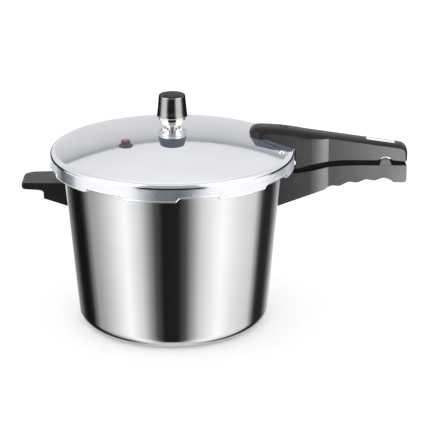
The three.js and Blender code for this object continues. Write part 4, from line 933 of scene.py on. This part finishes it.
# Downward, hollow and rim-facing faces take the darker black of painted shade.
for face in top_handle.faces:
    middle = face.calc_center_median()
    down = face.normal.z < -0.5 and middle.x > RIM
    hollow = abs(middle.y) < HANDLE_WIDTH / 2 - 2.5 and NOSE_X + 10 < middle.x < HANDLE_END - 3
    hollow = hollow and middle.z < roof_height(middle.x) - 3
    against_rim = face.normal.x < -0.5 and RIM < middle.x < RIM + 3
    face.material_index = 1 if down or hollow or against_rim else 0
finish_piece(top_handle, "upper_handle_moulding", "lid", [BAKELITE, BAKELITE_PAINTED_SHADE],
             ["upper_handle"], bevel_mm=0.5)
finish_piece(label_bmesh(28, 7, 1.2), "blank_plate", "lid", [LABEL_PLASTIC],
             ["blank_label_plate"], bevel_mm=0.3)

# %% [markdown]
# ## The bracket under the nose
# The upper handle stands on a pressed steel foot. Under the nose it is shaped like a boat's
# bow: nearly as wide as the handle at the top and drawn in where it meets the lid. A convex hull over
# an upper and a lower row of points gives that skin, a channel behind it runs into the handle,
# and the inside is hollow for the rivets and the nut.

# %% Bracket
CREASE_TOP = LID_EDGE + 11


def crease_height(x):
    """Height of the handle's lower edge over the lid."""
    return min(CREASE_TOP, LID_EDGE - 0.4 + (RIM + 6 - x) * 11.4 / 34.2)


def on_lid(x, y):
    return (x, y, lid_height(math.hypot(x, y)) + SEAT)


bow_plan = arc_points(NOSE_X + 14, 0, 13.6, 180, 90, 12) + [(x, 13.6) for x in (96, 102, 108, 114, 118.5)]
foot_plan = [(81.5, 0), (83, 2), (86, 4.2), (89, 6.2), (93, 9.4), (97, 12.4), (101, 15), (105, 17),
             (109, 18.4), (113, 18.8), (116.5, 17.5)]
bow = bmesh.new()
for x, y in both_sides(bow_plan):
    bow.verts.new((x, y, crease_height(x) - SEAT))
for x, y in both_sides(foot_plan):
    bow.verts.new(on_lid(x, y))
hull = bmesh.ops.convex_hull(bow, input=bow.verts)
bmesh.ops.delete(bow, geom=hull["geom_interior"], context="VERTS")
bmesh.ops.recalc_face_normals(bow, faces=bow.faces)
channel_side = [(NOSE_X + 11.3, CREASE_TOP - 4), (BRACKET_END, lid_height(BRACKET_END) + 2)]
channel_side += roof_line(NOSE_X + 11.3, BRACKET_END, 6.3)[::-1]
inside_side = [(NOSE_X + 13.3, lid_height(88) + 2.3), (BRACKET_END + 10, lid_height(115) + 2.3)]
inside_side += roof_line(NOSE_X + 13.3, BRACKET_END + 10, 8.3)[::-1]
bracket_bm = carve(bow, ("UNION", slab_bmesh(channel_side, HANDLE_WIDTH - 9.4)),
                   ("DIFFERENCE", slab_bmesh(inside_side, HANDLE_WIDTH - 13.4)),
                   ("DIFFERENCE", post_bmesh(SCREW_HOLE, LID_EDGE + 4, ABOVE, TOP_SCREW_X)))
# The bracket's dark blue-grey is painted shade under the handle's nose.
finish_piece(bracket_bm, "lid_bracket_pressing", "lid", [BRACKET_STEEL_PAINTED_SHADE], ["lid_bracket"],
             bevel_mm=0.25)

# %% [markdown]
# A small tab on each side of the bracket's foot is held to the lid by a rivet of its own.

# %% Tabs and their rivets
TAB_X = 106.5
for side, name in ((-1, "front"), (1, "back")):
    tab_plan = [(100.5, side * 14.5), (112.5, side * 14.5)]
    tab_plan += [(TAB_X + px, side * (21 + py)) for px, py in arc_points(0, 0, 3.6, 15, 165, 10)]
    tab = prism_bmesh(tab_plan, lid_height(109) + 0.15, lid_height(109) + 1.1)
    head_line = [(0, 177.2), (1.9, 177.2), (2.0, 177.6)]
    head_line += curve_points((2.0, 177.8), (1.7, 178.5), (0.8, 178.65), 6) + [(0, 178.7)]
    head = turned_bmesh(head_line, 48, (TAB_X, side * 20.8))
    finish_piece(carve(tab, ("UNION", head)), f"bracket_tab_{name}", "lid", [POLISHED_LID], [],
                 bevel_mm=0.15)

# %% [markdown]
# ## The lower handle
# It is screwed to a bracket on the pot. Its underside waves over three and a half fingers, and a
# short ridge on its top stands in the upper handle's groove. The pot's wall and the bracket are
# cut out of its root with a hair of clearance.

# %% Lower handle
LOWER_WIDTH = LOWER_HIGH.y - LOWER_LOW.y
GRIP_TOP = GRIP_UNDERSIDE - 5.5
ROOT_TOP = LID_EDGE - 23.4
ROOT_BOTTOM = ROOT_TOP - 34.6
FINGER_TOP = GRIP_TOP - 23.7
FINGERS = 3.5
LOWER_END = LOWER_HIGH.x
FINGER_PITCH = 17
fingers_start = LOWER_END - 18.8 - FINGERS * FINGER_PITCH
INSIDE_POT = 95.4


def finger_line(steps=42):
    """Underside over three and a half fingers, rising towards the end."""
    made = [(fingers_start - 1.6, GRIP_TOP - 25.4)]
    for k in range(steps + 1):
        t = FINGERS * k / steps
        line = FINGER_TOP + 4.8 * t - 0.6 * t * t
        made.append((fingers_start + t * FINGER_PITCH, line + math.sin(math.tau * t)))
    return made


end_bottom = GRIP_TOP - 18
lower_side = [(INSIDE_POT, ROOT_BOTTOM - 2), (wall_radius(ROOT_BOTTOM), ROOT_BOTTOM)] + finger_line()
lower_side += [(LOWER_END - 15, end_bottom + 2)]
lower_side += arc_points(LOWER_END - 12, end_bottom + 2.4, 2.4, 240, 270, 3)
lower_side += arc_points(LOWER_END - 3, end_bottom + 3, 3, 270, 360, 8)
lower_side += arc_points(LOWER_END - 2, GRIP_TOP - 2, 2, 0, 90, 6)
lower_side += curve_points((RIM + 62, GRIP_TOP), (RIM + 34, GRIP_TOP), (RIM + 4, ROOT_TOP + 1.6), 12)
lower_side += [(INSIDE_POT, ROOT_TOP)]
lower_half = LOWER_WIDTH / 2
lower_plan = both_sides([(0, lower_half + 1)] + waist_line(lower_half))
ridge_front = -lower_half + 2.6
ridge_plan = [(150, ridge_front), (240, ridge_front), (240, ridge_front + 7), (150, ridge_front + 7)]
ridge = carve(turned_bmesh(arc_points(RIDGE_X, RIDGE_Z, 5.6, 0, 345, 23), 288),
              ("INTERSECT", prism_bmesh(ridge_plan, GRIP_TOP - 3, ABOVE)))

# %% [markdown]
# Both pot handles sit on the same kind of bracket, so one helper makes what is cut from their
# roots: the pot's outside, the bracket's plate and stub, and the screw's hole from below.

# %% Cuts in a pot handle's root
PLATE_REACH = 3.3


def pot_tool():
    outline = [(0, 20), (wall_radius(20) + SEAT, 20), (wall_radius(POT_TOP) + SEAT, POT_TOP), (0, POT_TOP)]
    return turned_bmesh(outline, 256)


def mount_cuts(side, plate_bottom, plate_top, stub_height, screw_reach, head_top):
    """Cuts for a bracket at +x or -x; side is 1 or -1."""
    screw_x = wall_radius(plate_top) + screw_reach
    middle = (plate_bottom + plate_top) / 2
    stub_half = stub_height / 2 + SEAT
    stub_end = screw_x + 6.24 + SEAT
    inner = wall_radius(plate_bottom) - 3
    plate = [(side * inner, plate_bottom - SEAT),
             (side * (wall_radius(plate_bottom) + PLATE_REACH), plate_bottom - SEAT),
             (side * (wall_radius(plate_top) + PLATE_REACH), plate_top + SEAT),
             (side * inner, plate_top + SEAT)]
    stub = [(side * inner, middle - stub_half), (side * stub_end, middle - stub_half),
            (side * stub_end, middle + stub_half), (side * inner, middle + stub_half)]
    x = side * screw_x
    tools = (pot_tool(), slab_bmesh(plate, 17.6), slab_bmesh(stub, 12.6),
             post_bmesh(SCREW_HOLE, plate_bottom - 20, middle, x),
             post_bmesh(HEAD_POCKET, plate_bottom - 20, head_top + SEAT, x))
    return [("DIFFERENCE", tool) for tool in tools]


lower_head_top = ROOT_BOTTOM + 9.5
lower_screw_x = wall_radius(ROOT_TOP - 4) + 13
lower_handle = carve(slab_bmesh(lower_side, LOWER_WIDTH, 1.6, 4.4, 6),
                     ("INTERSECT", prism_bmesh(lower_plan, 0, ABOVE)), ("UNION", ridge),
                     *mount_cuts(1, ROOT_BOTTOM + 5, ROOT_TOP - 4, 10, 13, lower_head_top))
# Upward faces in the slot under the upper grip take the darker black of painted shade.
for face in lower_handle.faces:
    middle = face.calc_center_median()
    in_slot = face.normal.z > 0.5 and middle.x > INSIDE_POT and middle.z < GRIP_TOP + 0.1
    face.material_index = 1 if in_slot else 0
finish_piece(lower_handle, "lower_handle_moulding", "pot", [BAKELITE, BAKELITE_PAINTED_SHADE],
             ["lower_handle"], bevel_mm=0.5)

# %% [markdown]
# ## The helper handle
# A short plate to lift the other side of the pot, with a deep root under it.

# %% Helper handle
helper_top = HELPER_HIGH.z
helper_end = -HELPER_LOW.x
grip_bottom = helper_top - 6.5
helper_root = helper_top - 22
helper_side = [(INSIDE_POT, helper_root - 4), (wall_radius(helper_root), helper_root - 1)]
helper_side += [(RIM + 3.7, helper_root + 5.4)] + arc_points(RIM + 4.2, helper_root + 7.2, 1.8, -70, 0, 4)
helper_side += curve_points((RIM + 6.2, grip_bottom - 3), (RIM + 7.4, grip_bottom - 1),
                            (RIM + 11, grip_bottom - 0.8), 6)
helper_side += arc_points(helper_end - 3.4, grip_bottom + 3.4, 3.4, -90, 0, 8)
helper_side += arc_points(helper_end - 2.4, helper_top - 2.4, 2.4, 0, 90, 6)
helper_side += [(INSIDE_POT, helper_top)]
helper_half = 18.7
helper_plan = [(INSIDE_POT, -helper_half - 3)]
helper_plan += arc_points(helper_end - 14, -helper_half + 14, 14, -90, 0, 14)
helper_plan += arc_points(helper_end - 3.5, helper_half - 3.5, 3.5, 0, 90, 8)
helper_plan += [(INSIDE_POT, helper_half + 1)]
helper_bm = carve(slab_bmesh(helper_side, 4 * helper_half),
                  ("INTERSECT", prism_bmesh(helper_plan, 0, ABOVE)))
turn_bmesh(helper_bm, math.pi)
helper_head_top = helper_top - 15
helper_bm = carve(helper_bm, *mount_cuts(-1, helper_root + 2.4, helper_top - 1.8, 5, 9, helper_head_top))
finish_piece(helper_bm, "helper_handle_moulding", "pot", [BAKELITE], ["helper_handle"],
             bevel_mm=1.1)

# %% [markdown]
# ## Screws
# Pan-head screws with a crossed slot hold the handles. One helper turns the head and shank,
# cuts the cross and, for the pot's screws, turns the whole thing upside down.

# %% Screws
def screw_bmesh(head_bottom, tip, x, upside_down):
    """Screw with its head up, from the face its head bears on to its tip below."""
    head = [(0, tip), (2.4, tip), (2.4, head_bottom), (4.4, head_bottom)]
    head += curve_points((4.4, head_bottom + 1.5), (4.2, head_bottom + 2.6), (2.6, head_bottom + 2.8), 6)
    head += [(0, head_bottom + 2.8)]
    bm = turned_bmesh(head, 48)
    cuts = []
    for turn in (0.5, 0.5 + math.pi / 2):
        blade = slab_bmesh([(-2.1, head_bottom + 4), (-1.4, head_bottom + 1.0), (1.4, head_bottom + 1.0),
                            (2.1, head_bottom + 4)], 0.9)
        turn_bmesh(blade, turn)
        cuts.append(("DIFFERENCE", blade))
    bm = carve(bm, *cuts)
    if upside_down:
        turn_bmesh(bm, math.pi, "X", head_bottom)
    bmesh.ops.translate(bm, vec=(x, 0, 0), verts=bm.verts)
    return bm


top_screw_low = corners("upper_handle_screw")[0]
finish_piece(screw_bmesh(screw_seat, top_screw_low.z, TOP_SCREW_X, False), "upper_screw", "lid",
             [DARK_SCREW_STEEL], ["upper_handle_screw"])
helper_screw_x = -(wall_radius(helper_top - 1.8) + 9)
for node, x, head_top, name in (
        ("lower_handle_screw", lower_screw_x, lower_head_top, "lower_screw"),
        ("helper_handle_screw", helper_screw_x, helper_head_top, "helper_screw")):
    tip_high = corners(node)[1].z
    finish_piece(screw_bmesh(head_top, 2 * head_top - tip_high, x, True), name, "pot",
                 [ZINC_STEEL], [node])

# %% [markdown]
# ## The vent
# A rubber cone stands on the lid and carries a bright pressed bowl, and in the bowl's middle a
# hexagon and a satin turned post come up from the nut under the lid. The weight sits on the post's
# tip.

# %% Rubber cone and bowl
BASE_LOW, BASE_HIGH = corners("vent_base")
CUP_LOW, CUP_HIGH = corners("vent_cup")
cone_rim = BASE_HIGH.x
cone = [(VENT_HOLE, BASE_LOW.z), (11.1, BASE_LOW.z), (11.7, BASE_LOW.z + 0.25)]
cone += curve_points((11.9, BASE_LOW.z + 0.6), (13.0, BASE_LOW.z + 4), (cone_rim, BASE_HIGH.z - 0.6), 10)
cone += arc_points(cone_rim - 0.5, BASE_HIGH.z - 0.5, 0.5, 0, 90, 4)
cone += curve_points((12.0, BASE_HIGH.z), (12.0, CUP_LOW.z + 0.5), (10.0, BASE_LOW.z + 1.6), 8)
cone += [(VENT_HOLE, BASE_LOW.z + 1.6)]
finish_piece(turned_bmesh(cone, 144), "vent_cone", "lid", [SLATE_RUBBER], ["vent_base"])

lip = CUP_HIGH.x
lip_bottom = BASE_HIGH.z + 0.3
bowl = [(VENT_HOLE, CUP_LOW.z)]
bowl += curve_points((9.7, CUP_LOW.z), (11.7, CUP_LOW.z + 0.8), (11.7, lip_bottom - 0.4), 10)
bowl += [(12.1, lip_bottom)] + arc_points(lip - 0.95, lip_bottom + 0.9, 0.9, -90, 75, 8)
bowl += [(lip - 0.85, lip_bottom + 1.85), (lip - 0.6, lip_bottom + 2.0)]
bowl += curve_points((lip - 0.3, lip_bottom + 2.1), (lip, lip_bottom + 2.4), (lip, lip_bottom + 3.2), 5)
bowl += [(lip, CUP_HIGH.z - 0.5)] + arc_points(lip - 0.45, CUP_HIGH.z - 0.45, 0.45, 0, 180, 6)[1:]
bowl += [(lip - 0.9, lip_bottom + 1.5), (lip - 1.4, lip_bottom + 0.95), (11.2, lip_bottom + 0.9)]
bowl += curve_points((10.8, lip_bottom + 0.4), (10.8, CUP_LOW.z + 1.7), (8.8, CUP_LOW.z + 0.9), 10)
bowl += [(VENT_HOLE, CUP_LOW.z + 0.9)]
finish_piece(turned_bmesh(bowl, 144), "vent_bowl", "lid", [BOWL_STEEL], ["vent_cup"])

# %% [markdown]
# The post is threaded below, where the nut grips it. Its hexagon is a prism with a turned chamfer.

# %% Post and hexagon
TUBE_LOW, TUBE_HIGH = corners("vent_tube")
HEX_RADIUS = 7.4
hex_bottom = CUP_LOW.z + 1.2
hex_top = hex_bottom + 2.6
post_line = [(1.3, TUBE_LOW.z), (3.8, TUBE_LOW.z), (4.2, TUBE_LOW.z + 0.4)]
thread = TUBE_LOW.z + 1.0
while thread < hex_bottom - 3.2:
    post_line += [(4.2, thread), (3.75, thread + 0.4), (4.2, thread + 0.8)]
    thread += 1.0
post_line += [(4.2, hex_bottom + 0.6), (3.3, hex_top), (3.3, TUBE_HIGH.z - 2.2)]
post_line += curve_points((3.3, TUBE_HIGH.z - 2), (3.2, TUBE_HIGH.z - 0.6), (2.0, TUBE_HIGH.z), 5)
post_line += [(1.3, TUBE_HIGH.z)]
chamfer = [(0, hex_bottom), (HEX_RADIUS, hex_bottom), (HEX_RADIUS, hex_top - 0.5), (6.5, hex_top),
           (0, hex_top)]
hexagon = carve(prism_bmesh(arc_points(0, 0, HEX_RADIUS, 0, 300, 5), hex_bottom, hex_top),
                ("INTERSECT", turned_bmesh(chamfer, 96)))
hexagon = carve(hexagon, ("DIFFERENCE", post_bmesh(2.6, 0, ABOVE)))
vent_post = carve(turned_bmesh(post_line, 96), ("UNION", hexagon))
finish_piece(vent_post, "vent_post", "lid", [TURNED_STEEL], ["vent_tube"], bevel_mm=0.15)

# %% [markdown]
# ## The weight
# A slotted brass skirt hangs round the post, a chromed drum gives the weight its mass, and a
# cap in black chrome with a satin top is what the fingers hold.

# %% Slotted skirt
INSERT_LOW, INSERT_HIGH = corners("weight_insert")
DRUM_LOW, DRUM_HIGH = corners("weight_body")
CAP_LOW, CAP_HIGH = corners("weight_cap")
castle_top = DRUM_LOW.z - 0.3
castle = [(5.5, INSERT_LOW.z), (7.5, INSERT_LOW.z), (7.9, INSERT_LOW.z + 0.4), (7.9, castle_top - 0.4),
          (7.6, castle_top), (5.4, castle_top), (5.4, INSERT_HIGH.z), (0, INSERT_HIGH.z),
          (0, INSERT_HIGH.z - 3), (4.1, INSERT_HIGH.z - 3), (4.1, INSERT_LOW.z + 3.2),
          (5.2, INSERT_LOW.z + 2.4)]
SLOT_COUNT = 12
SLOT_HALF = 0.95
slot_side = [(-SLOT_HALF, INSERT_LOW.z - 4), (SLOT_HALF, INSERT_LOW.z - 4),
             (SLOT_HALF, INSERT_LOW.z + 2.3)]
slot_side += arc_points(0, INSERT_LOW.z + 2.15, SLOT_HALF, 10, 170, 8)
slot_side += [(-SLOT_HALF, INSERT_LOW.z + 2.3)]
slots = []
for k in range(SLOT_COUNT // 2):
    slot_bm = slab_bmesh(slot_side, 24)
    turn_bmesh(slot_bm, math.radians(360 / SLOT_COUNT * k))
    slots.append(("DIFFERENCE", slot_bm))
skirt_bm = carve(turned_bmesh(castle, 144), *slots)
# Faces inside the slots take the dark brown of painted shade.
for face in skirt_bm.faces:
    middle = face.calc_center_median()
    face.material_index = 1 if Vector(middle[:2]).length < 7.35 and middle.z < castle_top - 0.3 else 0
finish_piece(skirt_bm, "weight_skirt", "weight", [TURNED_BRASS, BRASS_PAINTED_SLOT_SHADE],
             ["weight_insert"], bevel_mm=0.12)

# %% [markdown]
# The drum and the cap are plain turned shapes. The top of the cap takes the satin finish.

# %% Drum and cap
drum_radius = DRUM_HIGH.x
drum = [(5.7, DRUM_LOW.z), (drum_radius - 1.6, DRUM_LOW.z)]
drum += curve_points((drum_radius - 1.0, DRUM_LOW.z + 0.15), (drum_radius - 0.05, DRUM_LOW.z + 0.8),
                     (drum_radius, DRUM_LOW.z + 2.2), 8)
drum += [(drum_radius - 0.18, DRUM_LOW.z + 6.8), (drum_radius - 0.4, DRUM_LOW.z + 7), (8.2, DRUM_LOW.z + 7),
         (8.2, DRUM_HIGH.z), (0, DRUM_HIGH.z), (0, INSERT_HIGH.z + 0.3), (5.7, INSERT_HIGH.z + 0.3)]
finish_piece(turned_bmesh(drum, 144), "weight_drum", "weight", [CHROME], ["weight_body"])

cap_base = CAP_HIGH.x
cap_edge = CAP_HIGH.z - 1.2
cap = [(8.5, CAP_LOW.z), (cap_base - 0.5, CAP_LOW.z)]
cap += arc_points(cap_base - 0.5, CAP_LOW.z + 0.5, 0.5, -80, 0, 4) + [(cap_base, CAP_LOW.z + 0.9)]
cap += [(12.9 + 2.0 * (1 - k / 6) * 0.93, CAP_LOW.z + 0.9 + (cap_edge - 2.2 - CAP_LOW.z) * k / 6)
        for k in range(1, 6)]
cap += curve_points((13.0, cap_edge - 1.3), (12.9, cap_edge), (11.5, cap_edge + 0.2), 6)
cap += [(9, CAP_HIGH.z - 0.55), (6.45, CAP_HIGH.z - 0.2), (3, CAP_HIGH.z - 0.05), (0, CAP_HIGH.z)]
cap += [(0, DRUM_HIGH.z + 0.3), (8.5, DRUM_HIGH.z + 0.3)]
cap_bm = turned_bmesh(cap, 144)
for face in cap_bm.faces:
    face.material_index = 1 if face.calc_center_median().z > cap_edge - 0.9 else 0
finish_piece(cap_bm, "weight_grip", "weight", [BLACK_CHROME, CAP_TOP], ["weight_cap"])

# %% [markdown]
# ## The safety plug
# A black rubber plug is pulled into a hole in the lid, and a red silicone pin in its middle
# rises when there is pressure inside.

# %% Plug and pin
PLUG_LOW, PLUG_HIGH = corners("safety_plug")
PIN_LOW, PIN_HIGH = corners("pressure_pin")
plug_at = ((PLUG_LOW.x + PLUG_HIGH.x) / 2, (PLUG_LOW.y + PLUG_HIGH.y) / 2)
brim = PLUG_HIGH.z - 6.4
flange_top = brim - 2.9
plug = [(2.2, PLUG_LOW.z), (6.0, PLUG_LOW.z), (7.5, flange_top - 1), (7.5, flange_top),
        (4.9, flange_top), (4.9, brim)]
plug += [(6.2, brim)] + curve_points((6.6, brim + 0.2), (7.2, brim + 0.5), (7.2, brim + 1.3), 5)
plug += curve_points((7.1, brim + 1.6), (4.9, brim + 2.2), (4.6, brim + 4.2), 8)
plug += [(4.55, brim + 5.7)] + arc_points(4.05, PLUG_HIGH.z - 0.5, 0.5, 10, 90, 5)
plug += [(3.2, PLUG_HIGH.z), (2.95, PLUG_HIGH.z - 0.25), (2.95, PLUG_HIGH.z - 4), (2.2, PLUG_HIGH.z - 4)]
finish_piece(turned_bmesh(plug, 96, plug_at), "safety_plug_rubber", "lid", [BLACK_RUBBER],
             ["safety_plug"])

pin = [(0, PIN_LOW.z), (1.9, PIN_LOW.z), (1.9, PLUG_HIGH.z - 3.7), (2.65, PLUG_HIGH.z - 3.7),
       (2.65, PLUG_HIGH.z - 0.2)]
pin += curve_points((2.6, PLUG_HIGH.z - 0.1), (2.4, PIN_HIGH.z - 0.1), (1.2, PIN_HIGH.z - 0.02), 6)
pin += [(0, PIN_HIGH.z)]
finish_piece(turned_bmesh(pin, 64, plug_at), "pressure_pin_silicone", "indicator",
             [RED_SILICONE], ["pressure_pin"])

# %% [markdown]
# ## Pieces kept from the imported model
# Brackets, rivets, nuts, seals and the clip have the right shape already and are mostly
# hidden, so they stay and only take the finish of their real metal or rubber.

# %% Finishes of the kept pieces
kept = {"gasket": GREY_RUBBER, "vent_seal": BLACK_RUBBER, "vent_nut": TURNED_BRASS,
        "upper_handle_nut": ZINC_STEEL, "pressure_pin_clip": ZINC_STEEL,
        "pot_handle_bracket": PLAIN_ALUMINIUM, "helper_bracket": PLAIN_ALUMINIUM}
for bracket in ("pot_handle_bracket", "helper_bracket", "lid_bracket"):
    for k in (1, 2):
        kept[f"{bracket}_rivet_{k}"] = PLAIN_ALUMINIUM
for node, finish in kept.items():
    part = frame["nodes"][node]
    part.data.materials[0] = finish
    part.visible_glossy = False
print("kept pieces:", len(kept))

# %% [markdown]
# ## A light for the handles
# Black bakelite needs its own light, or it turns into a hole in the picture. One soft box stands
# low on the right where the waist of the handles mirrors it, and a weaker one in front lifts the
# grips. Light linking lets them reach only the black mouldings, as flags would in a studio.

# %% Handle lights
black_pieces = bpy.data.collections.new("black_mouldings")
for name in ("upper_handle_moulding", "lower_handle_moulding", "helper_handle_moulding"):
    black_pieces.objects.link(bpy.data.objects[name])


def handle_light(name, place, aim, width, height, watts):
    """Rectangular soft box that lights only the black mouldings."""
    light_data = bpy.data.lights.new(name, "AREA")
    light_data.shape = "RECTANGLE"
    light_data.size = width
    light_data.size_y = height
    light_data.energy = watts
    light_data.use_shadow = False
    light = bpy.data.objects.new(name, light_data)
    light.location = place
    light.rotation_euler = (Vector(aim) - Vector(place)).to_track_quat("-Z", "Y").to_euler()
    light.visible_camera = False
    bpy.context.scene.collection.objects.link(light)
    light.light_linking.receiver_collection = black_pieces


handle_light("waist_soft_box", (0.345, -0.44, 0.037), (0.146, -0.014, 0.175), 0.20, 0.26, 4.2)
handle_light("front_soft_box", (0.20, -0.90, -0.02), (0.160, -0.014, 0.170), 0.60, 0.25, 0.25)
